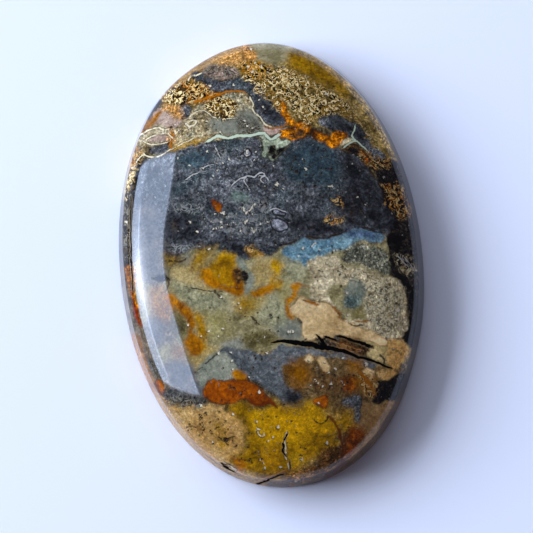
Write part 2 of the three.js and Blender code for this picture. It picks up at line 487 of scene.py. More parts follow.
lay_mineral(
    "ink", edge=7.0, ragged=9.0, noise=1, tone=1, grit=0.45,
    tones=((12, 14, 18), (30, 32, 38), (52, 55, 63)),
    right_of_the_slate=[(345, 156), (356, 158), (366, 168), (377, 182), (388, 200), (400, 222), (395, 236),
        (370, 226), (350, 226), (336, 212), (342, 190), (343, 170)],
    below_the_slate=[(285, 222), (310, 214), (335, 222), (345, 230), (325, 238), (300, 237)],
    drop=[(284, 391), (292, 388), (300, 394), (303, 402), (296, 407), (287, 404)],
    top_right=[(328, 120), (345, 121), (360, 130), (368, 142), (360, 142), (346, 133)],
    lobe_foot=[(258, 96), (268, 102), (278, 112), (282, 122), (272, 122), (262, 112)],
    over_the_yellow=[(224, 238), (236, 239), (248, 246), (252, 256), (244, 257), (232, 252), (224, 246)],
    left_dark=[(166, 214), (184, 212), (196, 220), (200, 232), (194, 240), (180, 242), (166, 240)],
)
lay_mineral(
    "teal", edge=6.0, ragged=9.0, noise=2, tone=2, grit=0.45,
    tones=((26, 37, 47), (42, 57, 68), (64, 84, 93)),
    upper_right=[(286, 152), (300, 143), (315, 142), (328, 146), (336, 152), (339, 165), (338, 176),
        (332, 184), (320, 186), (308, 182), (296, 182), (288, 176), (283, 162)],
    left_streak=[(170, 190), (186, 178), (200, 170), (214, 164), (212, 172), (196, 182), (180, 194)],
    above_the_thread=[(176, 158), (190, 152), (206, 150), (216, 156), (206, 164), (188, 168)],
)
lay_mineral(
    "seafoam", edge=3.0, ragged=6.0, noise=0, tone=1, grit=0.4,
    tones=((70, 88, 88), (96, 114, 112), (118, 134, 130)),
    slate_spot=[(231, 195), (237, 192), (245, 194), (248, 199), (241, 201), (234, 200)],
)
lay_mineral(
    "lilac", edge=6.0, ragged=9.0, noise=2, tone=4, grit=0.25,
    tones=((66, 72, 80), (92, 92, 98), (124, 118, 118)),
    high=[(134, 208), (148, 202), (160, 212), (162, 240), (164, 262), (166, 278), (150, 284), (138, 278),
        (134, 240)],
    foot=[(168, 364), (186, 362), (200, 376), (204, 396), (186, 394), (172, 384)],
    low=[(146, 322), (158, 320), (164, 332), (160, 348), (152, 342)],
)
lay_mineral(
    "blue", edge=1.8, ragged=5.0, noise=0, tone=4, grit=0.42,
    tones=((58, 86, 108), (88, 120, 142), (124, 154, 170)), stain=((104, 132, 138), 0.4),
    band=[(283, 247), (292, 245), (299, 242), (303, 238), (312, 239), (320, 240), (330, 239), (338, 236),
        (346, 233), (353, 229), (363, 229), (373, 231), (381, 234), (386, 237), (380, 242), (369, 241),
        (362, 240), (356, 243), (350, 246), (346, 249), (338, 250), (330, 253), (324, 256), (318, 260),
        (313, 264), (307, 266), (303, 264), (299, 260), (290, 257), (282, 253)],
)
lay_mineral(
    "deepblue", edge=5.0, ragged=5.0, noise=2, tone=1, grit=0.5,
    tones=((40, 56, 82), (56, 76, 106), (78, 98, 130)),
    band_end=[(348, 230), (358, 230), (372, 232), (382, 236), (376, 240), (362, 238), (350, 240)],
)
lay_mineral(
    "pale_blue", edge=5.0, ragged=9.0, noise=1, tone=1, grit=0.4,
    tones=((58, 92, 120), (86, 127, 152), (138, 172, 190)),
    middle=[(300, 243), (318, 243), (334, 243), (346, 240), (350, 244), (338, 249), (322, 253), (308, 250)],
    left=[(285, 252), (297, 252), (310, 257), (318, 258), (308, 264), (299, 260), (290, 257)],
)
lay_mineral(
    "darksage", edge=3.0, ragged=8.0, noise=1, tone=0, grit=1.0,
    tones=((58, 60, 54), (94, 96, 86), (130, 130, 114)),
    below_the_blue=[(347, 250), (353, 246), (361, 244), (369, 244), (379, 248), (388, 256), (391, 268),
        (394, 276), (384, 276), (377, 271), (369, 268), (362, 266), (352, 265), (344, 262), (341, 256)],
)
lay_mineral(
    "cream", edge=2.0, ragged=7.0, noise=2, tone=1, grit=0.32,
    tones=((128, 116, 92), (174, 162, 134), (206, 196, 172)), stain=((140, 124, 88), 0.3),
    upper_net=[(140, 132), (150, 126), (160, 124), (171, 127), (172, 133), (160, 135), (146, 138)],
    column=[(308, 262), (313, 260), (320, 257), (327, 256), (335, 256), (340, 262), (342, 270), (348, 268),
        (355, 267), (364, 271), (368, 276), (361, 277), (350, 279), (345, 285), (335, 284), (330, 290),
        (330, 298), (335, 305), (333, 308), (325, 302), (318, 300), (311, 298), (309, 288), (311, 277),
        (308, 270)],
    right=[(345, 268), (352, 266), (360, 267), (368, 271), (375, 272), (381, 276), (390, 277), (396, 280),
        (401, 284), (405, 293), (407, 300), (405, 310), (406, 320), (408, 328), (404, 336), (395, 339),
        (385, 338), (376, 335), (362, 334), (350, 334), (344, 322), (352, 320), (366, 322), (366, 310),
        (366, 300), (366, 290), (360, 281), (350, 279)],
    triangle=[(341, 138), (350, 139), (350, 145), (343, 145)],
)
lay_mineral(
    "greycell", edge=4.0, ragged=8.0, noise=0, tone=2, grit=0.8,
    tones=((104, 102, 88), (140, 136, 116), (170, 164, 142)),
    network=[(366, 286), (376, 280), (390, 284), (400, 294), (402, 310), (400, 322), (390, 332), (378, 330),
        (370, 322), (364, 308), (366, 296)],
)
lay_mineral(
    "peach", edge=1.2, ragged=5.0, noise=0, tone=3, grit=0.16,
    tones=((146, 118, 78), (184, 158, 116), (212, 190, 150)), stain=((204, 184, 150), 0.35),
    rim=((110, 76, 36), 0.4),
    field=[(289, 309), (294, 303), (300, 298), (309, 299), (318, 303), (326, 303), (333, 308), (337, 313),
        (340, 318), (345, 322), (352, 324), (360, 327), (370, 330), (378, 334), (386, 340), (388, 346),
        (380, 346), (370, 342), (358, 339), (348, 337), (338, 336), (331, 338), (326, 338), (318, 339),
        (312, 341), (306, 340), (302, 335), (302, 327), (301, 321), (296, 317), (290, 316)],
    cell=[(305, 358), (309, 356), (313, 359), (311, 363), (306, 362)],
    cells=[(318, 358), (324, 357), (327, 362), (331, 368), (328, 373), (322, 370), (320, 364)],
    nodule_high=[(362, 371), (368, 368), (374, 373), (372, 380), (366, 382), (361, 377)],
    nodule_low=[(370, 385), (376, 384), (379, 391), (374, 395), (369, 391)],
)
lay_mineral(
    "greygreen", edge=2.2, ragged=6.0, noise=1, tone=4, grit=0.22,
    tones=((86, 94, 88), (122, 128, 118), (150, 154, 142)),
    blotch=[(353, 277), (360, 281), (365, 287), (366, 294), (362, 299), (358, 305), (352, 309), (345, 308),
        (343, 302), (345, 297), (343, 290), (347, 285), (350, 280)],
    upper_pool=[(237, 257), (243, 259), (247, 264), (248, 270), (241, 271), (236, 268), (234, 262)],
    lower_pool=[(248, 271), (253, 276), (252, 287), (248, 296), (243, 294), (246, 285), (247, 278)],
    left_foot=[(198, 370), (206, 357), (222, 352), (233, 361), (238, 371), (232, 380), (219, 381),
        (208, 382), (203, 388), (198, 380)],
)
lay_mineral(
    "deeppool", edge=4.0, ragged=6.0, noise=2, tone=1, grit=0.6,
    tones=((44, 56, 58), (62, 76, 76), (88, 102, 98)),
    blotch_foot=[(344, 300), (350, 296), (358, 297), (362, 301), (356, 307), (348, 308)],
)
lay_mineral(
    "mint", edge=1.2, ragged=4.0, noise=2, tone=1, grit=0.4,
    tones=((112, 124, 108), (150, 162, 144), (184, 194, 176)), rim=((24, 26, 22), 0.75),
    knot=[(257, 136), (264, 133), (270, 138), (278, 135), (281, 140), (287, 139), (290, 143), (284, 148),
        (279, 152), (276, 145), (271, 147), (268, 154), (264, 151), (266, 142), (261, 138)],
    left_arm=[(262, 140), (268, 142), (268, 150), (265, 157), (261, 155), (263, 148)],
    middle_arm=[(274, 144), (280, 146), (282, 152), (277, 158), (271, 161), (269, 157), (275, 152)],
)
lay_mineral(
    "pebble", edge=1.0, ragged=3.0, noise=1, tone=0, grit=0.6,
    tones=((80, 82, 96), (108, 112, 127), (156, 160, 172)), rim=((12, 12, 16), 0.9),
    pebble=[(272, 219), (279, 218), (285, 222), (289, 227), (285, 230), (278, 231), (273, 228), (271, 223)],
    blotch=[(272, 210), (277, 208), (281, 211), (286, 212), (285, 216), (279, 215), (274, 214)],
    upper=[(245, 150), (249, 150), (251, 154), (247, 157), (244, 154)],
)
lay_mineral(
    "mustard", edge=9.0, ragged=9.0, noise=0, tone=3, grit=0.36,
    tones=((92, 66, 0), (138, 102, 0), (178, 133, 2)), stain=((122, 100, 14), 0.4),
    field=[(226, 405), (234, 402), (240, 400), (248, 403), (253, 407), (262, 408), (270, 404), (277, 403),
        (283, 406), (292, 408), (300, 407), (306, 402), (314, 401), (322, 402), (327, 407), (331, 414),
        (340, 415), (347, 410), (352, 418), (352, 428), (345, 430), (340, 436), (338, 445), (330, 448),
        (318, 452), (310, 460), (302, 467), (292, 473), (284, 475), (272, 477), (262, 478), (250, 474),
        (240, 468), (230, 462), (238, 454), (244, 444), (244, 430), (238, 418), (230, 412)],
    yellow=[(191, 260), (196, 253), (206, 250), (210, 256), (203, 262), (195, 270), (190, 267)],
    gold_streak=[(217, 422), (221, 428), (225, 435), (224, 444), (219, 443), (220, 435), (216, 429)],
    olive_cap=[(290, 55), (298, 52), (310, 56), (325, 67), (340, 80), (346, 92), (336, 90), (322, 84),
        (308, 78), (298, 72), (291, 66)],
    left_dash=[(167, 258), (176, 257), (184, 258), (185, 262), (176, 263), (168, 263)],
    spot=[(238, 300), (243, 297), (250, 296), (256, 299), (254, 305), (249, 310), (242, 311), (238, 307)],
    right_foot=[(300, 440), (320, 436), (338, 440), (336, 448), (322, 456), (306, 464), (290, 470),
        (288, 456)],
)
lay_mineral(
    "gold", edge=5.0, ragged=9.0, noise=2, tone=4, grit=0.32,
    tones=((138, 102, 0), (170, 128, 0), (194, 152, 12)),
    mustard_heart=[(248, 410), (262, 410), (276, 408), (290, 414), (302, 420), (300, 434), (288, 442),
        (272, 444), (260, 436), (252, 424)],
    golden_cap=[(242, 66), (250, 62), (262, 64), (269, 67), (266, 74), (256, 78), (246, 75)],
    cloud_top=[(216, 256), (224, 253), (234, 258), (236, 266), (226, 270), (216, 266)],
    middle_spot=[(270, 264), (276, 261), (282, 265), (282, 272), (275, 273)],
    under_the_net=[(172, 148), (180, 144), (192, 140), (206, 137), (209, 139), (194, 143), (180, 148),
        (174, 151)],
    cap_edge=[(176, 84), (184, 80), (190, 82), (188, 86), (178, 88)],
)
lay_mineral(
    "ochre", edge=5.0, ragged=9.0, noise=1, tone=3, grit=0.32,
    tones=((112, 78, 0), (150, 108, 2), (176, 138, 24)),
    cloud=[(214, 262), (222, 258), (232, 262), (236, 272), (242, 284), (240, 292), (232, 293), (224, 289),
        (216, 287), (208, 284), (200, 279), (199, 272), (206, 266)],
    glow=[(192, 310), (200, 314), (206, 326), (206, 340), (206, 350), (198, 356), (194, 344), (198, 330)],
    under_the_slate=[(246, 249), (252, 248), (259, 252), (262, 255), (255, 254)],
    crescent_end=[(270, 283), (277, 280), (283, 283), (280, 289), (273, 288)],
    mustard_foot=[(258, 450), (276, 446), (284, 456), (276, 468), (262, 464)],
)
lay_mineral(
    "amber", edge=2.5, ragged=6.0, noise=2, tone=4, grit=0.22,
    tones=((96, 50, 0), (148, 92, 0), (190, 124, 0)),
    crescent=[(251, 293), (257, 289), (264, 286), (271, 284), (276, 287), (272, 291), (266, 294),
        (260, 297), (254, 297)],
    low_glow=[(232, 458), (240, 459), (246, 463), (244, 469), (236, 468)],
    over_the_orange=[(232, 372), (238, 370), (246, 376), (243, 381), (236, 379)],
    cloud_right=[(232, 272), (238, 269), (241, 276), (243, 288), (237, 290), (233, 281)],
    left_flame=[(141, 132), (147, 123), (154, 115), (160, 110), (163, 112), (157, 119), (150, 127),
        (144, 133)],
    loop_patch=[(290, 286), (298, 284), (300, 288), (297, 293), (295, 299), (291, 304), (290, 311),
        (293, 318), (288, 318), (285, 312), (285, 304), (289, 297), (292, 291)],
    cloud_foot=[(202, 270), (208, 270), (214, 278), (222, 283), (230, 286), (238, 286), (244, 291),
        (238, 295), (226, 292), (212, 287), (203, 280)],
    long_streak=[(165, 296), (174, 295), (181, 300), (188, 308), (193, 315), (195, 324), (193, 331),
        (198, 338), (203, 346), (200, 354), (193, 355), (186, 348), (183, 342), (187, 336), (189, 329),
        (187, 321), (182, 314), (176, 308), (169, 305)],
)
lay_mineral(
    "rust", edge=1.6, ragged=5.0, noise=0, tone=3, grit=0.24,
    tones=((94, 38, 0), (138, 66, 0), (186, 100, 0)), rim=((70, 24, 2), 0.5),
    deep_orange=[(205, 387), (207, 382), (213, 379), (219, 380), (224, 380), (232, 379), (240, 379),
        (247, 379), (253, 382), (258, 386), (262, 390), (265, 395), (270, 399), (275, 405), (270, 404),
        (265, 403), (261, 406), (256, 405), (252, 403), (248, 400), (242, 399), (237, 401), (228, 404),
        (218, 404), (212, 400), (207, 398), (203, 392)],
    wedge_spot=[(361, 150), (365, 152), (369, 158), (366, 162), (362, 157)],
    nib=[(313, 401), (318, 398), (325, 397), (327, 402), (326, 409), (319, 406)],
    slate_spot=[(210, 200), (214, 199), (217, 203), (221, 204), (222, 209), (220, 213), (217, 211),
        (214, 206)],
    rim_foot=[(154, 382), (158, 379), (162, 382), (165, 389), (166, 396), (161, 394), (157, 388)],
)
lay_mineral(
    "tangerine", edge=1.8, ragged=7.0, noise=2, tone=1, grit=0.7,
    tones=((78, 38, 0), (142, 78, 0), (206, 128, 4)), rim=((70, 34, 4), 0.45),
    bar=[(312, 131), (318, 130), (325, 136), (331, 137), (333, 133), (338, 131), (344, 132), (347, 137),
        (343, 141), (338, 144), (334, 147), (329, 145), (326, 141), (320, 140), (314, 137)],
    eye=[(279, 134), (283, 131), (289, 128), (296, 127), (302, 131), (307, 130), (306, 136), (300, 139),
        (294, 139), (288, 138), (282, 138)],
    flame=[(277, 100), (282, 101), (287, 108), (290, 116), (297, 122), (306, 124), (313, 131), (308, 134),
        (300, 130), (294, 128), (287, 123), (281, 114), (278, 107)],
    nest_edge=[(200, 100), (206, 96), (214, 94), (222, 92), (224, 95), (216, 99), (208, 102), (201, 103)],
)
lay_mineral(
    "apricot", edge=4.0, ragged=8.0, noise=1, tone=4, grit=0.9,
    tones=((138, 94, 44), (184, 136, 76), (218, 174, 116)),
    left_peach=[(164, 107), (170, 102), (178, 104), (182, 112), (181, 120), (175, 117), (169, 112)],
    cap_smear=[(242, 47), (248, 44), (254, 50), (254, 60), (247, 60), (243, 54)],
    net_end=[(168, 130), (172, 131), (174, 138), (172, 142), (168, 140)],
    cap_gold=[(214, 60), (226, 54), (238, 54), (242, 60), (238, 67), (222, 66)],
)
lay_mineral(
    "maroon", edge=3.5, ragged=7.0, noise=1, tone=0, grit=0.5,
    tones=((50, 20, 2), (84, 38, 2), (120, 62, 10)),
    in_the_taupe=[(342, 378), (352, 375), (358, 380), (356, 390), (348, 394), (342, 388)],
    fan=[(349, 430), (356, 426), (363, 429), (365, 436), (360, 446), (352, 455), (345, 464), (341, 461),
        (345, 446)],
)
lay_mineral(
    "brown", edge=2.2, ragged=6.0, noise=2, tone=1, grit=0.6,
    tones=((30, 20, 12), (62, 43, 22), (98, 72, 40)), stain=((120, 64, 18), 0.3),
    wedge=[(341, 149), (346, 145), (353, 144), (358, 147), (361, 152), (361, 156), (354, 153), (347, 151)],
    sliver=[(326, 341), (334, 339), (345, 340), (355, 343), (364, 345), (370, 350), (367, 352), (366, 356),
        (358, 354), (350, 350), (340, 347), (330, 345)],
    rust_core=[(234, 271), (240, 269), (242, 279), (237, 283)],
    mustard_corner=[(326, 456), (333, 450), (340, 446), (342, 454), (338, 464), (330, 466)],
    worm_bed=[(162, 98), (170, 89), (180, 84), (192, 84), (204, 89), (209, 97), (200, 102), (184, 104),
        (170, 103)],
    nest_bed=[(206, 104), (213, 100), (230, 99), (237, 104), (233, 117), (222, 118), (208, 111)],
    eye_core=[(296, 131), (302, 130), (305, 135), (299, 138), (295, 135)],
)
lay_mineral(
    "bronze", edge=9.0, ragged=8.0, noise=2, tone=4, grit=0.3,
    tones=((80, 46, 0), (116, 73, 0), (152, 98, 2)),
    blur=[(286, 370), (291, 363), (300, 361), (308, 368), (310, 378), (306, 386), (298, 388), (290, 380)],
    high_spot=[(346, 361), (356, 360), (362, 366), (356, 373), (348, 371)],
    low_spot=[(356, 379), (366, 377), (375, 383), (372, 390), (362, 388)],
)
lay_mineral(
    "umber", edge=5.0, ragged=9.0, noise=0, tone=1, grit=0.8,
    tones=((40, 24, 8), (76, 50, 20), (108, 78, 40)),
    under_the_mustard=[(322, 452), (333, 446), (341, 448), (341, 459), (334, 468), (324, 469), (318, 461)],
    bottom_brown=[(284, 477), (300, 469), (313, 463), (325, 457), (338, 453), (347, 463), (322, 486),
        (292, 492)],
)
lay_mineral(
    "slate_grey", edge=3.0, ragged=7.0, noise=1, tone=0, grit=0.9,
    tones=((34, 34, 36), (70, 72, 76), (108, 108, 108)),
    strip=[(164, 392), (172, 388), (184, 392), (198, 396), (208, 400), (202, 405), (188, 404), (174, 402),
        (166, 400)],
    left_foot=[(148, 362), (156, 360), (162, 371), (166, 380), (162, 379), (155, 373)],
)
lay_mineral(
    "black", edge=1.6, ragged=5.0, noise=0, tone=0, grit=0.9,
    tones=((3, 3, 4), (10, 9, 10), (36, 32, 28)),
    hole=[(241, 272), (245, 270), (249, 274), (248, 281), (244, 284), (241, 280)],
    right_margin=[(386, 236), (400, 232), (426, 232), (428, 280), (424, 320), (418, 345), (408, 345),
        (404, 339), (402, 333), (408, 328), (407, 310), (407, 298), (403, 287), (398, 280), (392, 277),
        (390, 270), (389, 258), (388, 248)],
    upper_margin=[(370, 164), (382, 160), (396, 160), (410, 165), (420, 200), (426, 240), (400, 240),
        (390, 236), (394, 220), (386, 205), (381, 190), (376, 178)],
    lower_right=[(374, 381), (380, 381), (388, 380), (395, 376), (400, 374), (408, 374), (406, 388),
        (398, 398), (393, 402), (384, 402), (377, 404), (371, 403), (374, 397), (376, 390), (375, 385)],
    left_margin=[(122, 204), (128, 200), (132, 204), (132, 232), (132, 262), (129, 266), (125, 262),
        (121, 240), (121, 220)],
    left_mark=[(133, 180), (137, 176), (139, 180), (136, 186), (133, 190)],
    knot_first=[(268, 146), (272, 145), (275, 149), (273, 153), (269, 152)],
    knot_second=[(276, 150), (281, 147), (286, 146), (284, 151), (278, 154)],
    knot_third=[(270, 156), (274, 154), (277, 157), (273, 160)],
    left_glow_mark=[(152, 278), (160, 276), (169, 277), (170, 280), (160, 281)],
    wedge=[(344, 149), (350, 146), (357, 148), (363, 155), (366, 162), (360, 158), (351, 153)],
)

# Wormy speckle lies over the minerals in some places, each kind over the one before. Its light strokes
# are edged with dark, and finer strokes of its other colour lie between them.
WORMS = []


def lay_worms(name, course, patches, light, other, dark, strength, **zones):
    """One kind of wormy speckle: which noise its strokes and its patches follow, and where it lies."""
    WORMS.append({
        "name": name, "course": course, "patches": patches, "light": light, "other": other, "dark": dark,
        "strength": strength, "zones": zones,
    })


lay_worms(
    "slate", course="nets", patches=2, light=(160, 162, 168), other=(84, 96, 98),
    dark=(20, 20, 26), strength=0.42,
    ferns=[(180, 188), (184, 178), (196, 170), (210, 160), (216, 148), (226, 146), (226, 158), (214, 170),
        (200, 180), (188, 190)],
    left_of_the_pebble=[(214, 216), (226, 213), (246, 218), (266, 214), (270, 226), (250, 236), (232, 232),
        (218, 228)],
    middle=[(238, 198), (262, 200), (270, 206), (268, 214), (248, 214), (238, 208)],
    left=[(172, 206), (190, 202), (204, 207), (198, 213), (182, 212)],
    foot=[(170, 246), (178, 243), (190, 245), (194, 249), (184, 252), (172, 253)],
)
lay_worms(
    "grey", course="threads", patches=1, light=(116, 114, 106), other=(70, 58, 40),
    dark=(18, 16, 16), strength=0.85,
    speckled_grey=[(238, 118), (248, 116), (260, 126), (256, 134), (240, 132)],
    cap_brown=[(204, 72), (210, 66), (224, 65), (236, 69), (238, 76), (222, 79), (206, 78)],
    left_dark=[(122, 206), (129, 206), (130, 240), (128, 260), (121, 250)],
    left_foot=[(150, 362), (158, 364), (164, 375), (160, 378), (154, 374)],
    strip=[(164, 396), (180, 396), (204, 402), (202, 408), (184, 407), (166, 403)],
)
lay_worms(
    "pale", course="threads", patches=0, light=(226, 206, 158), other=(124, 90, 16),
    dark=(12, 8, 4), strength=0.95,
    upper_middle=[(242, 78), (256, 72), (270, 66), (290, 70), (306, 78), (324, 88), (338, 95), (348, 105),
        (358, 118), (368, 134), (380, 148), (374, 148), (364, 130), (354, 120), (340, 113), (328, 114),
        (316, 120), (308, 126), (298, 118), (284, 100), (262, 88)],
    nest=[(205, 103), (212, 99), (232, 98), (238, 103), (234, 117), (222, 119), (206, 112)],
    left_bed=[(160, 98), (170, 89), (178, 82), (186, 84), (188, 96), (182, 104), (170, 104)],
    slate_edge=[(256, 84), (270, 92), (284, 104), (280, 112), (268, 100), (256, 92)],
    left_rim=[(124, 160), (140, 150), (138, 165), (134, 178), (128, 196), (120, 198)],
)
lay_worms(
    "cream", course="nets", patches=2, light=(238, 226, 198), other=(160, 140, 102),
    dark=(66, 56, 40), strength=0.68,
    cream_right=[(366, 276), (392, 279), (405, 293), (406, 330), (385, 336), (372, 328), (366, 300)],
    column=[(340, 264), (352, 266), (366, 272), (366, 280), (350, 282), (340, 276)],
    margin=[(396, 254), (412, 258), (418, 270), (406, 274), (396, 264)],
)
lay_worms(
    "gold", course="threads", patches=1, light=(206, 176, 120), other=(150, 90, 6),
    dark=(14, 10, 6), strength=0.95,
    cap=[(241, 62), (254, 60), (270, 66), (272, 73), (258, 79), (246, 77)],
    left_gold=[(178, 80), (190, 80), (206, 86), (213, 94), (205, 101), (190, 104), (186, 92)],
    upper_right=[(360, 150), (366, 153), (372, 155), (380, 158), (388, 157), (392, 162), (388, 168),
        (380, 169), (373, 169), (367, 165), (361, 160)],
    right=[(383, 185), (390, 183), (400, 183), (404, 190), (408, 200), (411, 212), (409, 217), (402, 219),
        (395, 214), (388, 206), (385, 200), (388, 196), (384, 190)],
    nest_high=[(331, 200), (336, 198), (342, 199), (344, 203), (342, 207), (336, 203)],
    nest_low=[(322, 220), (328, 216), (331, 213), (334, 217), (339, 219), (344, 217), (342, 222),
        (334, 223), (326, 223)],
    taupe_corner=[(358, 374), (368, 372), (376, 380), (378, 392), (370, 398), (362, 388)],
    slate_fleck=[(246, 249), (252, 248), (260, 252), (260, 255), (250, 254)],
    left_rim=[(124, 152), (136, 146), (142, 154), (138, 166), (128, 172)],
)

# The veins of each kind, each over the one before: the points that a line follows, and its width at
# both ends, in pixels. A kind strays from its lines by its wander, its width is uneven, and it fades
# away where a noise lies below its breaks. The outline is a colour beside it, with its strength. The
# cracks come last, because the pits in the polish are taken from the last kind.
VEINS = []


def draw_veins(name, colour, strength, wander, uneven, breaks, outline, **lines):
    """One kind of vein with the courses of its lines."""
    VEINS.append({
        "name": name, "colour": colour, "strength": strength, "wander": wander, "uneven": uneven,
        "breaks": breaks, "outline": outline, "lines": lines,
    })


draw_veins(
    "dark", colour=(40, 26, 16), strength=0.85, wander=2.6, uneven=4.0, breaks=(0.36, 0.46),
    outline=((150, 130, 96), 0.0),
    under_the_slate=([(166, 261), (174, 261), (180, 262), (185, 259)], 1.6, 1.4),
    column_foot=([(303, 300), (308, 302), (312, 303), (318, 304)], 1.3, 1.5),
    lobe_arc=([(381, 356), (384, 360), (383, 365)], 2, 1.5),
    tan_dash=([(186, 428), (191, 427), (195, 428)], 1.4, 1.2),
    streak_dash=([(224, 440), (229, 438), (233, 437)], 2.4, 1.4),
    mustard_arc=([(314, 419), (318, 423), (323, 424), (327, 420), (328, 416)], 1.8, 1.5),
    fan_dash=([(350, 324), (355, 326), (362, 325)], 1.5, 1.2),
    sage_mark=([(252, 318), (255, 321), (258, 324)], 2.2, 1.8),
    thread_left=([(186, 287), (194, 289), (204, 290), (212, 291), (222, 292)], 1.2, 1.0),
    thread_foot=([(199, 369), (205, 365), (212, 358), (218, 353), (223, 349)], 1.3, 1.0),
    over_the_blue_left=([(284, 244), (291, 243), (298, 240)], 2.0, 1.6),
    over_the_blue=([(308, 237), (316, 238), (324, 238), (332, 236), (342, 233)], 1.8, 1.4),
    over_the_blue_right=([(364, 228), (372, 230), (378, 232), (384, 231)], 2.2, 1.6),
    cloud_mark=([(215, 291), (219, 296), (223, 300)], 2.6, 2.0),
    glow_mark=([(166, 290), (169, 284), (167, 278)], 1.6, 1.2),
    wedge_top=([(341, 148), (348, 144), (355, 145), (362, 150), (367, 156), (372, 164)], 1.6, 2.2),
    slate_rim_right=([(366, 166), (374, 176), (380, 186), (383, 196)], 1.8, 1.4),
)
draw_veins(
    "redbrown", colour=(96, 36, 4), strength=0.8, wander=2.2, uneven=1.5, breaks=(0.1, 0.2),
    outline=((60, 30, 8), 0.3),
    long_arc=([(330, 417), (335, 423), (339, 431), (341, 438), (343, 446), (343, 455), (341, 464),
        (336, 471), (329, 478)], 2.4, 2.0),
    short_arc=([(346, 432), (345, 442), (346, 452)], 1.4, 1.2),
    orange_outline=([(250, 399), (253, 404), (258, 405), (263, 405), (268, 402), (272, 403),
        (276, 407)], 1.8, 1.8),
)
draw_veins(
    "orange", colour=(156, 90, 2), strength=0.9, wander=4.0, uneven=6.0, breaks=(0.3, 0.45),
    outline=((104, 56, 8), 0.35),
    nest_top=([(196, 101), (205, 99), (213, 97), (226, 93), (238, 91), (244, 92)], 1.8, 1.2),
    loop_top=([(297, 284), (302, 285), (308, 287)], 1.0, 0.7),
    fan_line=([(356, 321), (362, 322), (368, 321)], 1.0, 0.8),
    taupe_streak=([(361, 374), (365, 379), (370, 384), (374, 391)], 3, 3),
    left_link=([(170, 130), (173, 136), (171, 142), (172, 148)], 2.0, 1.6),
    gold_edge=([(266, 126), (276, 128), (286, 126)], 1.2, 1.2),
    column_dash=([(307, 302), (312, 304), (317, 305)], 1.4, 1.6),
    peach_edge=([(334, 308), (338, 312), (340, 318)], 1.1, 0.8),
    bottom_seam=([(258, 483), (266, 480), (276, 476), (286, 472)], 1.2, 1.2),
)
draw_veins(
    "pale", colour=(190, 208, 192), strength=0.9, wander=0.8, uneven=3.0, breaks=(0.24, 0.36),
    outline=((30, 30, 24), 0.55),
    mint=([(208, 141), (213, 138), (218, 136), (228, 138), (238, 136), (248, 136), (258, 134), (264, 133),
        (268, 137), (272, 139), (279, 135)], 2.3, 2.5),
    junction=([(344, 147), (350, 143), (356, 141), (361, 145), (366, 149)], 1.6, 1.2),
    junction_spur=([(355, 127), (354, 131), (352, 136), (356, 141)], 1.2, 1.4),
)
draw_veins(
    "white", colour=(216, 208, 184), strength=0.92, wander=2.4, uneven=5.0, breaks=(0.38, 0.5),
    outline=((28, 26, 28), 0.6),
    upper_thread=([(250, 97), (252, 101), (254, 105), (252, 108), (255, 113), (259, 117), (262, 121),
        (266, 125), (272, 127)], 1.4, 1.0),
    net_first=([(140, 136), (146, 131), (152, 129), (158, 128), (164, 130), (170, 128)], 1.3, 1.1),
    net_mid=([(146, 139), (152, 136), (160, 134), (168, 134), (173, 138)], 0.9, 1.0),
    net_second=([(144, 141), (149, 144), (154, 145), (160, 144), (168, 142)], 1.0, 0.9),
    net_third=([(143, 154), (149, 157), (156, 157), (162, 155), (166, 152), (172, 148), (179, 145),
        (186, 142), (194, 138)], 1.1, 0.9),
    net_left=([(143, 154), (139, 158), (136, 163), (134, 170)], 1.2, 0.9),
    scallop=([(187, 119), (191, 115), (196, 112), (203, 111), (208, 113), (213, 117), (220, 119),
        (228, 119), (236, 118)], 0.8, 0.7),
    small_ring=([(188, 122), (192, 120), (196, 121), (194, 125), (189, 126), (187, 124)], 1.1, 1.1),
    worm_top=([(189, 80), (191, 76), (196, 75), (200, 73)], 1.2, 0.9),
    crack_edge=([(286, 433), (284, 441), (286, 448), (285, 456), (288, 463), (288, 471)], 1.2, 1.0),
    slit_edge=([(224, 463), (230, 466), (236, 470)], 1.0, 0.8),
    oval_fleck=([(258, 429), (262, 431), (264, 435), (261, 436), (258, 432)], 1.1, 1.1),
)
draw_veins(
    "sandy", colour=(176, 132, 80), strength=0.8, wander=2.4, uneven=5.0, breaks=(0.3, 0.45),
    outline=((110, 60, 20), 0.5),
    in_the_sliver=([(332, 342), (342, 344), (352, 347), (362, 350)], 1.1, 0.8),
    lower_sliver=([(338, 347), (348, 350), (356, 352)], 0.9, 0.7),
    seam_edge=([(258, 481), (266, 478), (276, 474), (286, 470)], 1.0, 1.0),
)
draw_veins(
    "silver", colour=(190, 192, 200), strength=0.85, wander=2.4, uneven=4.0, breaks=(0.34, 0.46),
    outline=((20, 20, 26), 0.6),
    slate_thread=([(232, 185), (236, 181), (240, 178), (244, 177), (247, 176), (250, 176), (254, 177),
        (258, 174), (262, 173), (264, 174)], 1.1, 1.3),
    slate_loop=([(261, 178), (265, 176), (267, 180), (264, 183), (261, 181)], 1.0, 0.9),
    slate_spur=([(244, 180), (247, 185), (249, 189)], 0.8, 0.7),
    pebble_edge=([(271, 210), (276, 208), (281, 211), (285, 212)], 0.9, 0.8),
    fern=([(186, 179), (192, 175), (198, 173)], 0.8, 0.6),
    fern_leaf=([(202, 168), (207, 166), (212, 165)], 0.8, 0.6),
    fern_stem=([(215, 146), (217, 151), (220, 157)], 0.7, 0.5),
    first_feather=([(398, 257), (403, 262), (408, 266)], 1.0, 0.6),
    second_feather=([(403, 256), (409, 262), (413, 268)], 0.9, 0.5),
)
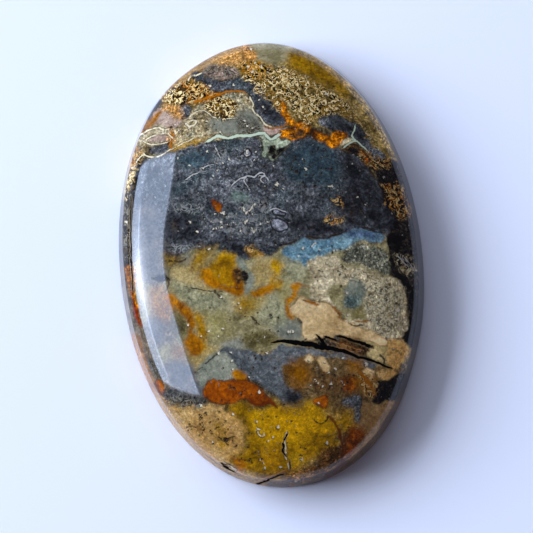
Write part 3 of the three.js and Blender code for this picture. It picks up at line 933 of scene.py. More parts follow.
draw_veins(
    "crack", colour=(8, 7, 8), strength=1.0, wander=2.4, uneven=1.5, breaks=(0.0, 0.1),
    outline=((150, 128, 88), 0.25),
    start=([(274, 342), (282, 340.5), (290, 342), (300, 343)], 2.4, 5.2),
    middle=([(300, 343), (306, 344), (312, 345), (322, 347)], 4.8, 5.4),
    end=([(322, 347), (335, 349), (348, 352.5), (358, 357.5)], 5, 3),
    spur=([(318, 336), (322, 341), (326, 346)], 2.2, 4),
    first_splinter=([(326, 337.5), (331, 339), (336, 340.5)], 2.4, 1.8),
    second_splinter=([(338, 336), (346, 338), (356, 341), (362, 343), (370, 346)], 2.2, 3.4),
    right=([(360, 357), (370, 360), (378, 363), (384, 366), (391, 368)], 2.6, 1.8),
    first_split=([(287, 434), (284, 440)], 1.6, 1.6),
    second_split=([(283, 444), (284, 447), (283, 451), (285, 455)], 2.0, 1.6),
    third_split=([(290, 462), (290, 469)], 1.2, 1.0),
    bottom_crack=([(257, 484), (263, 482), (270, 479), (276, 476), (284, 474)], 2.0, 1.4),
    slit=([(222, 464), (227, 468), (234, 472)], 2.0, 1.4),
    slit_top=([(224, 465), (228, 464), (231, 465)], 1.2, 0.8),
    left_line=([(131, 196), (131, 230), (131, 260), (133, 290)], 1.4, 1.4),
)

# Flecks: the cut ends of small tubes, each with its place and radius in pixels
PALE_FLECKS = [
    (229, 159, 1.2), (247, 151, 1.4), (247, 155, 1.3), (256, 152, 1.1), (277, 184, 1.6), (255, 204, 1.1),
    (252, 208, 1.1), (246, 213, 1.1), (244, 208, 1.0), (221, 222, 1.1), (222, 227, 1.0), (209, 249, 1.6),
    (329, 186, 1.2), (332, 186, 1.2), (352, 164, 1.1), (203, 168, 1.1), (190, 222, 1.3), (197, 232, 1.1),
    (303, 248, 1.3), (320, 250, 1.3), (312, 246, 1.0), (298, 256, 1.0), (188, 325, 1.4), (209, 331, 1.5),
    (201, 336, 1.2), (223, 329, 1.3), (289, 332, 1.8), (293, 331.5, 1.6), (218, 353, 1.5), (231, 352, 1.3),
    (232, 361, 1.2), (267, 353, 1.4), (347, 293, 1.6), (348, 315, 1.1), (374, 309, 1.2), (398, 310, 2.0),
    (398, 320, 1.3), (403, 322, 1.1), (355, 256, 1.1), (382, 265, 1.1), (366, 364, 1.8), (259.5, 392, 1.4),
    (233, 414, 1.4), (257, 422, 1.2), (278, 427, 1.9), (273, 437, 1.1), (268, 441, 1.2),
    (265, 468, 1.6), (281, 467, 1.3), (327, 443, 1.7), (302, 459, 1.4), (296, 481, 1.4), (201, 405, 1.3),
    (318, 383, 1.3), (323, 386, 1.2), (331, 384, 1.3), (309, 360, 1.2), (343, 358, 1.1), (325, 362, 1.1),
    (318.5, 403, 1.2), (234, 85, 1.5), (221, 297, 1.4), (244, 121, 1.2), (247, 126, 1.1), (252, 128, 1.1),
    (259, 100, 1.0), (263, 107, 1.1), (327, 94, 2.0), (301, 99, 1.1), (251, 49, 1.4), (210, 86, 1.0),
    (388, 337, 1.6), (248, 66, 1.3), (255, 63, 1.1), (262, 67, 1.3), (268, 72, 1.2),
    (252, 72, 1.2), (400, 352, 0.9), (394, 349, 0.9), (126, 222, 1.2), (130, 175, 1.2), (132, 168, 1.2),
]
DARK_FLECKS = [
    (275, 146, 1.3), (269, 152, 1.3), (262, 147, 1.2), (293, 134, 2.2), (166, 278, 1.2), (170, 280, 1.2),
    (372.5, 346.5, 1.7), (306, 339, 1.2), (246, 389, 1.0), (260, 388, 1.2), (225, 439, 1.8),
    (340, 139, 1.8), (256.5, 323, 1.2), (244, 277, 1.6), (230, 388, 0.9), (252, 394, 0.9),
    (293, 420, 0.9), (284, 404, 1.0), (349, 427, 1.0), (195, 372, 0.9), (297, 171, 1.5), (315, 186, 1.3),
    (266, 203, 1.6), (296, 172, 1.0), (236, 446, 1.3), (242, 453, 1.1), (248, 447, 1.0), (240, 460, 1.1),
    (250, 459, 1.1), (256, 452, 1.0), (200, 418, 1.1), (206, 413, 1.3), (210, 422, 1.1), (204, 429, 1.2),
    (212, 433, 1.0), (215, 416, 1.0), (246, 69, 1.3), (258, 70, 1.4), (251, 62, 1.1), (265, 64, 1.1),
]

# Smaller flecks strewn over an oval: its middle, its two reaches, and how many pale and dark ones
PALE_COLUMN = 4
DARK_COLUMN = 5
STREWN = [
    (232, 220, 40, 15, 24, 18), (212, 162, 44, 15, 8, 18), (268, 186, 26, 22, 5, 14),
    (310, 165, 27, 20, 2, 28), (350, 195, 22, 26, 2, 8), (385, 305, 16, 24, 6, 10),
    (330, 275, 18, 14, 2, 10), (268, 440, 44, 26, 3, 26), (212, 428, 24, 18, 1, 30),
    (330, 380, 30, 14, 6, 14), (240, 320, 46, 22, 4, 14), (200, 128, 30, 10, 8, 10),
    (320, 248, 28, 7, 5, 4), (250, 366, 30, 12, 2, 12), (225, 392, 20, 8, 0, 6),
]

# Their smallest radius, and how much more it may be, in pixels
SMALLEST_FLECK = 0.7
FLECK_GROWTH = 0.5

# Broad changes of light and dark: the place, the two reaches in pixels, and how many stops
SHADES = [
    (198, 165, 28, 16, 0.95), (222, 190, 20, 10, 0.3), (250, 230, 22, 12, 0.35), (258, 176, 26, 24, -0.35),
    (184, 228, 18, 14, -0.15), (318, 68, 22, 14, -0.45), (312, 428, 22, 16, 0.3), (352, 128, 16, 8, -0.7),
    (300, 349, 16, 5, 0.4), (175, 350, 8, 14, -0.55), (256, 338, 14, 6, -0.5), (262, 291, 8, 4, -0.65),
    (176, 302, 5, 5, 0.5), (321, 403, 5, 6, -0.8), (217, 206, 6, 7, -0.6), (392, 355, 14, 14, -0.25),
    (388, 375, 8, 5, -0.5), (160, 198, 7, 12, -0.6), (126, 230, 5, 24, -0.9), (356, 271, 9, 4, 0.7),
    (355, 287, 8, 7, 0.35), (408, 264, 8, 6, 1.0), (404, 240, 12, 10, -1.2),
    (333, 460, 7, 6, -0.9), (395, 405, 6, 10, 0.5), (129, 285, 4, 16, -0.4), (245, 303, 6, 6, -0.3),
    (365, 258, 16, 8, 0.35), (318, 228, 24, 7, 0.45), (330, 270, 8, 8, -0.3),
    (230, 414, 9, 14, 0.45), (355, 406, 10, 12, -0.45), (345, 345, 12, 4, -0.5), (337, 202, 8, 8, -0.35),
]


def smooth_course(points, closed):
    """A curve through given points, as short straight steps."""
    points = np.array(points, dtype=float)
    if closed:
        before = np.roll(points, 1, axis=0)
        after = np.roll(points, -1, axis=0)
        beyond = np.roll(points, -2, axis=0)
        here = points
    else:
        padded = np.concatenate((points[:1], points, points[-1:]))
        before, here, after, beyond = padded[:-3], padded[1:-2], padded[2:-1], padded[3:]
    steps = []
    for t in (0.0, 0.25, 0.5, 0.75):
        steps.append(0.5 * (2 * here + (after - before) * t
                            + (2 * before - 5 * here + 4 * after - beyond) * t ** 2
                            + (3 * here - before - 3 * after + beyond) * t ** 3))
    course = np.stack(steps, axis=1).reshape(-1, 2)
    return course if closed else np.concatenate((course, points[-1:]))


def nearby(pixels, course, margin):
    """Numbers of the points inside the course's box and a margin round it."""
    low = course.min(axis=0) - margin
    high = course.max(axis=0) + margin
    return np.flatnonzero(np.all((pixels > low) & (pixels < high), axis=1))


def nearest_on_step(x, y, start, end):
    """How far along a straight step its nearest spot to each point lies, and the offset from there."""
    (ax, ay), (bx, by) = start, end
    dx, dy = bx - ax, by - ay
    along = np.clip(((x - ax) * dx + (y - ay) * dy) / max(dx * dx + dy * dy, 1e-9), 0, 1)
    return along, x - ax - along * dx, y - ay - along * dy


def depth_inside(pixels, outline):
    """How deep each point lies in the outline, in pixels, and less than nothing outside it."""
    course = smooth_course(outline, closed=True)
    near = nearby(pixels, course, REACH)
    x, y = pixels[near].T
    squared = np.full(len(near), REACH ** 2)
    inside = np.zeros(len(near), dtype=bool)
    for (ax, ay), (bx, by) in zip(course, np.roll(course, -1, axis=0)):
        off_x, off_y = nearest_on_step(x, y, (ax, ay), (bx, by))[1:]
        squared = np.minimum(squared, off_x ** 2 + off_y ** 2)
        if ay != by:
            crossed = ((ay > y) != (by > y)) & (x < ax + (y - ay) * (bx - ax) / (by - ay))
            inside ^= crossed
    depth = np.full(len(pixels), -REACH)
    depth[near] = np.where(inside, 1, -1) * np.sqrt(squared)
    return depth


def patch_depth(pixels, outlines):
    """How deep each point lies in the outline that it lies deepest in."""
    depth = np.full(len(pixels), -REACH)
    for outline in outlines.values():
        depth = np.maximum(depth, depth_inside(pixels, outline))
    return depth


def line_course(pixels, lines):
    """Signed offset from the nearest line, plain distance to it, and half its width, in pixels."""
    found = np.full((len(pixels), 3), (REACH, REACH, 0.5))
    best = np.full(len(pixels), REACH)
    for points, first_width, last_width in lines.values():
        course = smooth_course(points, closed=False)
        near = nearby(pixels, course, REACH)
        x, y = pixels[near].T
        widths = np.linspace(first_width, last_width, len(course)) / 2
        for step in range(len(course) - 1):
            start, end = course[step], course[step + 1]
            along, off_x, off_y = nearest_on_step(x, y, start, end)
            distance = np.hypot(off_x, off_y)
            dx, dy = end - start
            side = np.where((x - start[0]) * dy - (y - start[1]) * dx < 0, -1, 1)
            half = widths[step] + (widths[step + 1] - widths[step]) * along
            closer = distance - half < best[near]
            chosen = near[closer]
            best[chosen] = (distance - half)[closer]
            found[chosen] = np.stack((side * distance, distance, half), axis=1)[closer]
    return found


def fleck_place(pixels, flecks):
    """Place of each point in its nearest fleck, in fleck radii, and its plain distance."""
    found = np.full((len(pixels), 3), NO_FLECK)
    for cx, cy, radius in flecks:
        near = nearby(pixels, np.array([(cx, cy)]), radius * FLECK_REACH)
        offset = (pixels[near] - (cx, cy)) / radius
        distance = np.hypot(offset[:, 0], offset[:, 1])
        closer = distance < np.minimum(found[near, 2], FLECK_REACH)
        found[near[closer]] = np.column_stack((offset, distance))[closer]
    return found


def strewn_flecks(seed, column):
    """Flecks at random places of each strewn oval, as many as this column says."""
    chance = np.random.default_rng(seed)
    flecks = []
    for oval in STREWN:
        x, y, reach_x, reach_y = oval[:4]
        for turn, out, size in chance.random((oval[column], 3)):
            turn, out = 2 * math.pi * turn, math.sqrt(out)
            radius = SMALLEST_FLECK + FLECK_GROWTH * size
            flecks.append((x + reach_x * out * math.cos(turn), y + reach_y * out * math.sin(turn), radius))
    return flecks


# Where the room's light comes from: how far it is turned up from the photograph's left and raised, in
# degrees, and its share. The rest comes from all round.
ROOM_LIGHTS = ((19, 30, 0.70), (78, 42, 0.12))
ROUND_SHARE = 0.18
LIGHT_SOFTNESS = 0.25
LIGHT_LIMITS = (0.3, 3.0)
# Over what height, in millimetres, the shading ends and the dullness sets in at the wall's top
SHADING_FADE = 0.6
DULL_FADE = 0.8


def towards_light(turn, tilt):
    """Direction of a light that is turned up from the photograph's left and raised, in degrees."""
    turn, tilt = math.radians(turn), math.radians(tilt)
    flat = math.sin(turn) * IMAGE_UP - math.cos(turn) * IMAGE_RIGHT
    return np.array((*(math.cos(tilt) * flat), math.sin(tilt)))


def light_share(normals):
    """How much of the room's light each direction of the surface takes, against a level one."""
    total = 0
    for turn, tilt, share in ROOM_LIGHTS:
        light = towards_light(turn, tilt)
        facing = normals @ light
        level = light[2]
        lit = (facing + np.hypot(facing, LIGHT_SOFTNESS)) / (level + math.hypot(level, LIGHT_SOFTNESS))
        total = total + share * lit
    return total + ROUND_SHARE * (0.6 + 0.4 * normals[:, 2])


def dull_wall(normals, height):
    """One on the wall's left and lower sides, which were ground duller, and nothing on the dome."""
    facing = 0.5 - 0.7 * normals[:, :2] @ (IMAGE_RIGHT + IMAGE_UP)
    low = np.clip((WALL_TOP + DULL_FADE / 2 - height) / DULL_FADE, 0, 1)
    return low * np.clip(facing, 0, 1)


def painted_shade_and_spot_stops(pixels, normals, height):
    """How many stops lighter or darker the colour is made than the colour that is seen: a painted
    counter-shade, darker where the room's lights fall strongly and lighter where they fall weakly, fading
    out below the wall's top, and the broad changes of light and dark.
    """
    above = np.clip((height - WALL_TOP + SHADING_FADE) / SHADING_FADE, 0, 1)
    # Painted counter-shade: darker where the room's lights fall strongly, lighter where they fall weakly
    total = -np.log2(np.clip(light_share(normals), *LIGHT_LIMITS)) * above
    for x, y, reach_x, reach_y, stops in SHADES:
        away = ((pixels[:, 0] - x) / reach_x) ** 2 + ((pixels[:, 1] - y) / reach_y) ** 2
        total += stops * np.exp(-away)
    return total


def store(mesh, name, values):
    """Keep one number or one vector for each point of the mesh."""
    kind, part = ("FLOAT", "value") if values.ndim == 1 else ("FLOAT_VECTOR", "vector")
    layer = mesh.attributes.new(name, kind, "POINT")
    layer.data.foreach_set(part, values.astype(np.float32).ravel())


# Small helpers for shader nodes
def connect(tree, socket, value):
    if isinstance(value, bpy.types.NodeSocket):
        tree.links.new(value, socket)
    else:
        socket.default_value = value


def maths(tree, operation, *values, clamp=False):
    made = tree.nodes.new("ShaderNodeMath")
    made.operation = operation
    made.use_clamp = clamp
    for socket, value in zip(made.inputs, values):
        connect(tree, socket, value)
    return made.outputs[0]


def times(tree, first, second):
    return maths(tree, "MULTIPLY", first, second)


def off_middle(tree, noise_value):
    """How far a noise is from its middle value, up or down."""
    return maths(tree, "ABSOLUTE", maths(tree, "SUBTRACT", noise_value, 0.5))


def vector_maths(tree, operation, *values, scale=None):
    made = tree.nodes.new("ShaderNodeVectorMath")
    made.operation = operation
    for socket, value in zip(made.inputs, values):
        connect(tree, socket, value)
    if scale is not None:
        connect(tree, made.inputs["Scale"], scale)
    return made.outputs["Value"] if operation == "LENGTH" else made.outputs["Vector"]


def rise(tree, value, low, high, smooth=True):
    """0 at low, 1 at high, and smooth between. Low may be the larger of the two."""
    made = tree.nodes.new("ShaderNodeMapRange")
    made.interpolation_type = "SMOOTHSTEP" if smooth else "LINEAR"
    connect(tree, made.inputs["Value"], value)
    connect(tree, made.inputs["From Min"], low)
    connect(tree, made.inputs["From Max"], high)
    return made.outputs["Result"]


def blend(tree, share, below, above):
    # The sockets for colours come after those for numbers and vectors, under the same names
    made = tree.nodes.new("ShaderNodeMix")
    made.data_type = "RGBA"
    connect(tree, made.inputs[0], share)
    connect(tree, made.inputs[6], below)
    connect(tree, made.inputs[7], above)
    return made.outputs[2]


def noise(tree, place, scale, detail=3.0, roughness=0.55, distortion=0.0):
    made = tree.nodes.new("ShaderNodeTexNoise")
    connect(tree, made.inputs["Vector"], place)
    made.inputs["Scale"].default_value = scale
    made.inputs["Detail"].default_value = detail
    made.inputs["Roughness"].default_value = roughness
    made.inputs["Distortion"].default_value = distortion
    return made


def channels(tree, colour):
    made = tree.nodes.new("ShaderNodeSeparateColor")
    connect(tree, made.inputs[0], colour)
    return list(made.outputs)


def parts_of(tree, vector):
    made = tree.nodes.new("ShaderNodeSeparateXYZ")
    connect(tree, made.inputs[0], vector)
    return list(made.outputs)


def three_noises(tree, place, scale, **settings):
    """Three noises that don't follow each other, from the colour of one."""
    return channels(tree, noise(tree, place, scale, **settings).outputs["Color"])


def stored(tree, name, part="Fac"):
    made = tree.nodes.new("ShaderNodeAttribute")
    made.attribute_name = name
    return made.outputs[part]


SOCKET_KINDS = {"number": "NodeSocketFloat", "colour": "NodeSocketColor", "vector": "NodeSocketVector"}


def new_group(name, inputs, outputs):
    """A shader node group with named sockets, each a number, a colour or a vector."""
    tree = bpy.data.node_groups.new(name, "ShaderNodeTree")
    for side, sockets in (("INPUT", inputs), ("OUTPUT", outputs)):
        for label, kind in sockets.items():
            tree.interface.new_socket(name=label, in_out=side, socket_type=SOCKET_KINDS[kind])
    return tree, tree.nodes.new("NodeGroupInput").outputs, tree.nodes.new("NodeGroupOutput").inputs


def use_group(tree, group, values):
    made = tree.nodes.new("ShaderNodeGroup")
    made.node_tree = group
    for label, value in values.items():
        connect(tree, made.inputs[label], value)
    return made.outputs


def mineral_group():
    """One mineral over what lies below it: its tones and stain inside a ragged outline with a thin rim."""
    tree, given, result = new_group(
        "mineral",
        {"Below": "colour", "Grit Below": "number", "Depth": "number", "Wander": "number",
         "Ragged": "number", "Edge": "number", "Tone": "number",
         "Dark": "colour", "Middle": "colour", "Light": "colour",
         "Stain": "colour", "Stain Share": "number", "Cloud": "number", "Rim Colour": "colour",
         "Rim": "number", "Grit": "number"},
        {"Colour": "colour", "Grit": "number"},
    )
    depth = maths(tree, "MULTIPLY_ADD", given["Wander"], given["Ragged"], given["Depth"])
    outer = times(tree, given["Edge"], -1.0)
    inside = rise(tree, depth, outer, given["Edge"])
    lower = blend(tree, rise(tree, given["Tone"], 0.1, 0.5, smooth=False), given["Dark"], given["Middle"])
    tones = blend(tree, rise(tree, given["Tone"], 0.5, 0.9, smooth=False), lower, given["Light"])
    stained_part = maths(tree, "ADD", given["Cloud"], given["Stain Share"])
    share = maths(tree, "MULTIPLY_ADD", stained_part, 5.0, -4.5, clamp=True)
    stained = blend(tree, times(tree, share, 0.75), tones, given["Stain"])
    colour = blend(tree, inside, given["Below"], stained)
    off_edge = maths(tree, "ABSOLUTE", depth)
    rim = times(tree, rise(tree, off_edge, 1.5, 0.2), given["Rim"])
    connect(tree, result["Colour"], blend(tree, rim, colour, given["Rim Colour"]))
    change = maths(tree, "SUBTRACT", given["Grit"], given["Grit Below"])
    connect(tree, result["Grit"], maths(tree, "MULTIPLY_ADD", change, inside, given["Grit Below"]))
    return tree


def vein_group():
    """A thin outlined vein along a drawn line, with a wandering edge and a strength that comes and goes."""
    tree, given, result = new_group(
        "vein",
        {"Below": "colour", "Course": "vector", "Wander": "number", "Strength": "number",
         "Width": "number", "Colour": "colour", "Outline": "colour", "Outline Strength": "number"},
        {"Colour": "colour", "Inside": "number"},
    )
    offset, distance, half = parts_of(tree, given["Course"])
    across = maths(tree, "ABSOLUTE", maths(tree, "ADD", offset, given["Wander"]))
    over = maths(tree, "SUBTRACT", across, times(tree, half, given["Width"]))
    ends = rise(tree, maths(tree, "SUBTRACT", distance, half), 2.6, 1.6)
    lasting = times(tree, ends, given["Strength"])
    mask = times(tree, rise(tree, over, 0.5, -0.35), lasting)
    around = times(tree, rise(tree, over, 1.7, 0.7), lasting)
    around = times(tree, around, given["Outline Strength"])
    outlined = blend(tree, around, given["Below"], given["Outline"])
    connect(tree, result["Colour"], blend(tree, mask, outlined, given["Colour"]))
    connect(tree, result["Inside"], mask)
    return tree


def fleck_group():
    """A small irregular cell, where a tube was cut across, with a crescent offset to one side: beside a
    pale cell it is a painted shadow, beside a dark cell a brown rim.
    """
    tree, given, result = new_group(
        "fleck",
        {"Below": "colour", "Place": "vector", "Wobble": "vector", "Cell": "colour", "Crescent": "colour",
         "Strength": "number"},
        {"Colour": "colour"},
    )
    close = rise(tree, parts_of(tree, given["Place"])[2], 2.6, 1.8)
    offset = vector_maths(tree, "MULTIPLY", given["Place"], (1, 1, 0))
    centred = vector_maths(tree, "SUBTRACT", given["Wobble"], (0.5, 0.5, 0.5))
    wobble = vector_maths(tree, "MULTIPLY", centred, (4.5, 4.5, 0))
    bent = vector_maths(tree, "ADD", offset, wobble)
    # The crescent sits to the same side of every fleck: beside a pale cell it is a painted shadow
    shadow_away = vector_maths(tree, "LENGTH", vector_maths(tree, "ADD", bent, (0.5, -0.6, 0)))
    cell_away = vector_maths(tree, "LENGTH", bent)
    shadow = times(tree, rise(tree, shadow_away, 1.5, 0.9), close)
    cell = times(tree, rise(tree, cell_away, 1.05, 0.6), close)
    shadow = times(tree, shadow, times(tree, given["Strength"], 0.75))
    cell = times(tree, cell, given["Strength"])
    darker = blend(tree, shadow, given["Below"], given["Crescent"])
    connect(tree, result["Colour"], blend(tree, cell, darker, given["Cell"]))
    return tree


def worm_group():
    """Wormy speckle over a marked zone: broken light strokes edged with dark, and others between them."""
    tree, given, result = new_group(
        "worms",
        {"Below": "colour", "Zone": "number", "First": "number", "Second": "number",
         "Breaks": "number", "Patches": "number",
         "Light": "colour", "Other": "colour", "Dark": "colour", "Strength": "number"},
        {"Colour": "colour"},
    )
    patches = maths(tree, "SUBTRACT", given["Patches"], 0.5)
    ragged_zone = maths(tree, "MULTIPLY_ADD", patches, 16.0, given["Zone"])
    zone = times(tree, rise(tree, ragged_zone, -2.5, 2.5), given["Strength"])
    first = off_middle(tree, given["First"])
    second = off_middle(tree, given["Second"])
    first_part = times(tree, rise(tree, given["Second"], 0.44, 0.50), zone)
    second_part = times(tree, rise(tree, given["Breaks"], 0.44, 0.50), zone)
    edges = times(tree, rise(tree, first, 0.19, 0.12), first_part)
    gaps = times(tree, rise(tree, given["Breaks"], 0.44, 0.38), zone)
    between = times(tree, rise(tree, second, 0.09, 0.05), second_part)
    strokes = times(tree, rise(tree, first, 0.068, 0.034), first_part)
    colour = blend(tree, maths(tree, "MAXIMUM", edges, gaps), given["Below"], given["Dark"])
    colour = blend(tree, between, colour, given["Other"])
    connect(tree, result["Colour"], blend(tree, strokes, colour, given["Light"]))
    return tree


def grain_group():
    """How much lighter or darker, in stops, the fine grain and the small filaments make the stone."""
    tree, given, result = new_group(
        "grain",
        {"Place": "vector", "Grit": "number", "Mottle": "number", "Patches": "number"},
        {"Stops": "number"},
    )
    place = given["Place"]
    fine = noise(tree, place, 4.6, detail=2.0, roughness=0.62).outputs[0]
    stops = times(tree, maths(tree, "SUBTRACT", fine, 0.5), 7.2)
    stops = maths(tree, "MULTIPLY_ADD", maths(tree, "SUBTRACT", given["Mottle"], 0.5), 4.0, stops)
    lines = three_noises(tree, place, 1.7, detail=2.5, roughness=0.6, distortion=1.8)
    for line, depth, low, high in ((lines[0], -2.0, 0.46, 0.54), (lines[1], 1.5, 0.54, 0.46)):
        shown = rise(tree, given["Patches"], low, high)
        filament = times(tree, rise(tree, off_middle(tree, line), 0.034, 0.012), shown)
        stops = maths(tree, "MULTIPLY_ADD", filament, depth, stops)
    connect(tree, result["Stops"], times(tree, stops, given["Grit"]))
    return tree


def spot_group():
    """Tiny pale and dark bits, strewn at random."""
    tree, given, result = new_group(
        "spots",
        {"Below": "colour", "Place": "vector", "Wobble": "vector", "Grit": "number"},
        {"Colour": "colour"},
    )
    centred = vector_maths(tree, "SUBTRACT", given["Wobble"], (0.5, 0.5, 0.5))
    bent = vector_maths(tree, "SCALE", centred, scale=0.35)
    cells = tree.nodes.new("ShaderNodeTexVoronoi")
    cells.inputs["Scale"].default_value = 3.0
    connect(tree, cells.inputs["Vector"], vector_maths(tree, "ADD", given["Place"], bent))
    away = cells.outputs["Distance"]
    chance = channels(tree, cells.outputs["Color"])
    pale = times(tree, rise(tree, chance[0], 0.90, 0.93), given["Grit"])
    dark = times(tree, rise(tree, chance[1], 0.84, 0.88), given["Grit"])
    holes = times(tree, rise(tree, away, 0.36, 0.22), dark)
    around = times(tree, rise(tree, away, 0.55, 0.40), times(tree, pale, 0.5))
    bits = times(tree, rise(tree, away, 0.30, 0.16), times(tree, pale, 0.6))
    colour = blend(tree, holes, given["Below"], paint((26, 24, 24)))
    colour = blend(tree, around, colour, paint((34, 32, 32)))
    connect(tree, result["Colour"], blend(tree, bits, colour, paint((178, 180, 180))))
    return tree


def mixed_tone(tree, parts, gain):
    """Noises added up by their shares, and widened by a gain, because they stay near one half."""
    mixed = 0.0
    for part, share in parts:
        mixed = maths(tree, "MULTIPLY_ADD", part, share, mixed)
    return maths(tree, "MULTIPLY_ADD", mixed, gain, 0.5 - 0.5 * gain, clamp=True)


def brighten(tree, colour, stops):
    """A colour made lighter or darker by a number of stops."""
    return vector_maths(tree, "SCALE", colour, scale=maths(tree, "POWER", 2.0, stops))


def pattern_group():
    """The whole mineral pattern: its colour, and where the polish is pitted or coarser."""
    tree, given, result = new_group(
        "palm_root_pattern",
        {"Place": "vector"},
        {"Colour": "colour", "Pits": "number", "Coarse": "number"},
    )
    place = given["Place"]
    mineral = mineral_group()
    vein = vein_group()
    fleck = fleck_group()
    worms = worm_group()
    # Noises with their scales per millimetre
    edges = three_noises(tree, place, 0.75, detail=8.0, roughness=0.68)
    wander = [maths(tree, "MULTIPLY_ADD", channel, 2.4, -1.2) for channel in edges]
    clouds = three_noises(tree, place, 0.40, detail=5.0, roughness=0.6, distortion=0.4)
    mottle = three_noises(tree, place, 1.5, detail=4.0, roughness=0.62, distortion=0.8)
    swirls = three_noises(tree, place, 1.0, detail=5.0, roughness=0.58, distortion=2.2)
    small = noise(tree, place, 5.0, detail=3.0, roughness=0.6).outputs["Color"]
    grain = channels(tree, small)
    threads = three_noises(tree, place, 2.0, detail=1.5, distortion=1.5)
    nets = three_noises(tree, place, 1.2, detail=2.5, roughness=0.5, distortion=2.2)
    tones = []
    for index in range(3):
        parts = ((mottle[index], 0.5), (clouds[index], 0.3), (grain[index], 0.2))
        tones.append(mixed_tone(tree, parts, gain=4.0))
    for index in range(2):
        parts = ((clouds[index + 1], 0.62), (swirls[index], 0.30), (grain[index], 0.08))
        tones.append(mixed_tone(tree, parts, gain=3.6))
    # The ground shows where no mineral lies
    ground = rise(tree, tones[1], 0.15, 0.85, smooth=False)
    colour = blend(tree, ground, paint((44, 36, 26)), paint((104, 92, 66)))
    grit = 0.6
    for layer in MINERALS:
        dark, middle, light = layer["tones"]
        rim_colour, rim = layer["rim"]
        stain, stain_share = layer["stain"]
        made = use_group(tree, mineral, {
            "Below": colour, "Grit Below": grit, "Depth": stored(tree, "depth_" + layer["name"]),
            "Wander": wander[layer["noise"]], "Ragged": layer["ragged"], "Edge": layer["edge"],
            "Tone": tones[layer["tone"]],
            "Dark": paint(dark), "Middle": paint(middle), "Light": paint(light),
            "Stain": paint(stain), "Stain Share": stain_share, "Cloud": clouds[(layer["noise"] + 1) % 3],
            "Rim Colour": paint(rim_colour), "Rim": rim, "Grit": layer["grit"],
        })
        colour = made["Colour"]
        grit = made["Grit"]
    stops = use_group(tree, grain_group(), {
        "Place": place, "Grit": grit, "Mottle": mottle[1], "Patches": clouds[2],
    })["Stops"]
    # The stored shade is a painted counter-shade against the room's lights, with broad lighter and darker
    # spots
    colour = brighten(tree, colour, maths(tree, "ADD", stops, stored(tree, "shade")))
    colour = use_group(tree, spot_group(), {
        "Below": colour, "Place": place, "Wobble": small, "Grit": grit,
    })["Colour"]
    courses = {"nets": nets, "threads": threads}
    for kind in WORMS:
        first, second, breaks = courses[kind["course"]]
        colour = use_group(tree, worms, {
            "Below": colour, "Zone": stored(tree, "worms_" + kind["name"]),
            "First": first, "Second": second, "Breaks": breaks, "Patches": mottle[kind["patches"]],
            "Light": paint(kind["light"]), "Other": paint(kind["other"]), "Dark": paint(kind["dark"]),
            "Strength": kind["strength"],
        })["Colour"]
    thickness = maths(tree, "MULTIPLY_ADD", nets[1], 0.5, times(tree, grain[1], 0.5))
    thickness = maths(tree, "SUBTRACT", thickness, 0.5)
    for kind in VEINS:
        outline, outline_strength = kind["outline"]
        width = maths(tree, "MULTIPLY_ADD", thickness, kind["uneven"], 1.0)
        made = use_group(tree, vein, {
            "Below": colour, "Course": stored(tree, "line_" + kind["name"], "Vector"),
            "Wander": times(tree, wander[1], kind["wander"]),
            "Width": maths(tree, "MAXIMUM", width, 0.2),
            "Strength": times(tree, rise(tree, mottle[2], *kind["breaks"]), kind["strength"]),
            "Colour": paint(kind["colour"]),
            "Outline": paint(outline), "Outline Strength": outline_strength,
        })
        colour = made["Colour"]
    # The last kind of vein is the cracks, which alone go down into the polish
    connect(tree, result["Pits"], made["Inside"])
    # Beside the pale flecks the dark crescent is a painted shadow; beside the dark flecks it is a brown rim
    for name, cell, crescent, strength in (
        ("pale_flecks", (216, 210, 196), (26, 22, 20), 0.85),
        ("dark_flecks", (16, 10, 6), (70, 60, 44), 0.8),
    ):
        colour = use_group(tree, fleck, {
            "Below": colour, "Place": stored(tree, name, "Vector"), "Wobble": small,
            "Cell": paint(cell), "Crescent": paint(crescent), "Strength": strength,
        })["Colour"]
    connect(tree, result["Colour"], colour)
    connect(tree, result["Coarse"], grain[0])
    return tree


# How the stone shines, and what the wall's dull side and the cracks take off its gloss
REFRACTIVE_INDEX = 1.46
GLOSS = 0.5
WALL_DULLING = 0.38
CRACK_DULLING = 0.4
# The lapping scratches run along the stone
SCRATCH_STRETCH = (14.0, 1.2, 1.0)


def stone_material(name, pattern, roughness, roughness_change, bump_depth, scratch):
    """Agate with one finish: polished on the dome and wall, lapped on the back and bevel."""
    material = bpy.data.materials.new(name)
    material.use_nodes = True
    tree = material.node_tree
    shader = tree.nodes["Principled BSDF"]
    coordinates = tree.nodes.new("ShaderNodeTexCoord")
    place = vector_maths(tree, "SCALE", coordinates.outputs["Object"], scale=1 / MM)
    made = use_group(tree, pattern, {"Place": place})
    connect(tree, shader.inputs["Base Color"], made["Colour"])
    sheen = maths(tree, "MULTIPLY_ADD", made["Coarse"], roughness_change, roughness)
    connect(tree, shader.inputs["Roughness"], sheen)
    shader.inputs["IOR"].default_value = REFRACTIVE_INDEX
    gloss = maths(tree, "MULTIPLY_ADD", stored(tree, "dull"), -WALL_DULLING, GLOSS)
    gloss = maths(tree, "MULTIPLY_ADD", made["Pits"], -CRACK_DULLING, gloss, clamp=True)
    connect(tree, shader.inputs["Specular IOR Level"], gloss)
    height = times(tree, made["Pits"], -1.0)
    if scratch:
        streaks = noise(tree, vector_maths(tree, "MULTIPLY", place, SCRATCH_STRETCH), 1.0, detail=4.0)
        height = maths(tree, "MULTIPLY_ADD", streaks.outputs[0], scratch, height)
    bump = tree.nodes.new("ShaderNodeBump")
    bump.inputs["Distance"].default_value = bump_depth * MM
    connect(tree, bump.inputs["Height"], height)
    connect(tree, shader.inputs["Normal"], bump.outputs["Normal"])
    return material


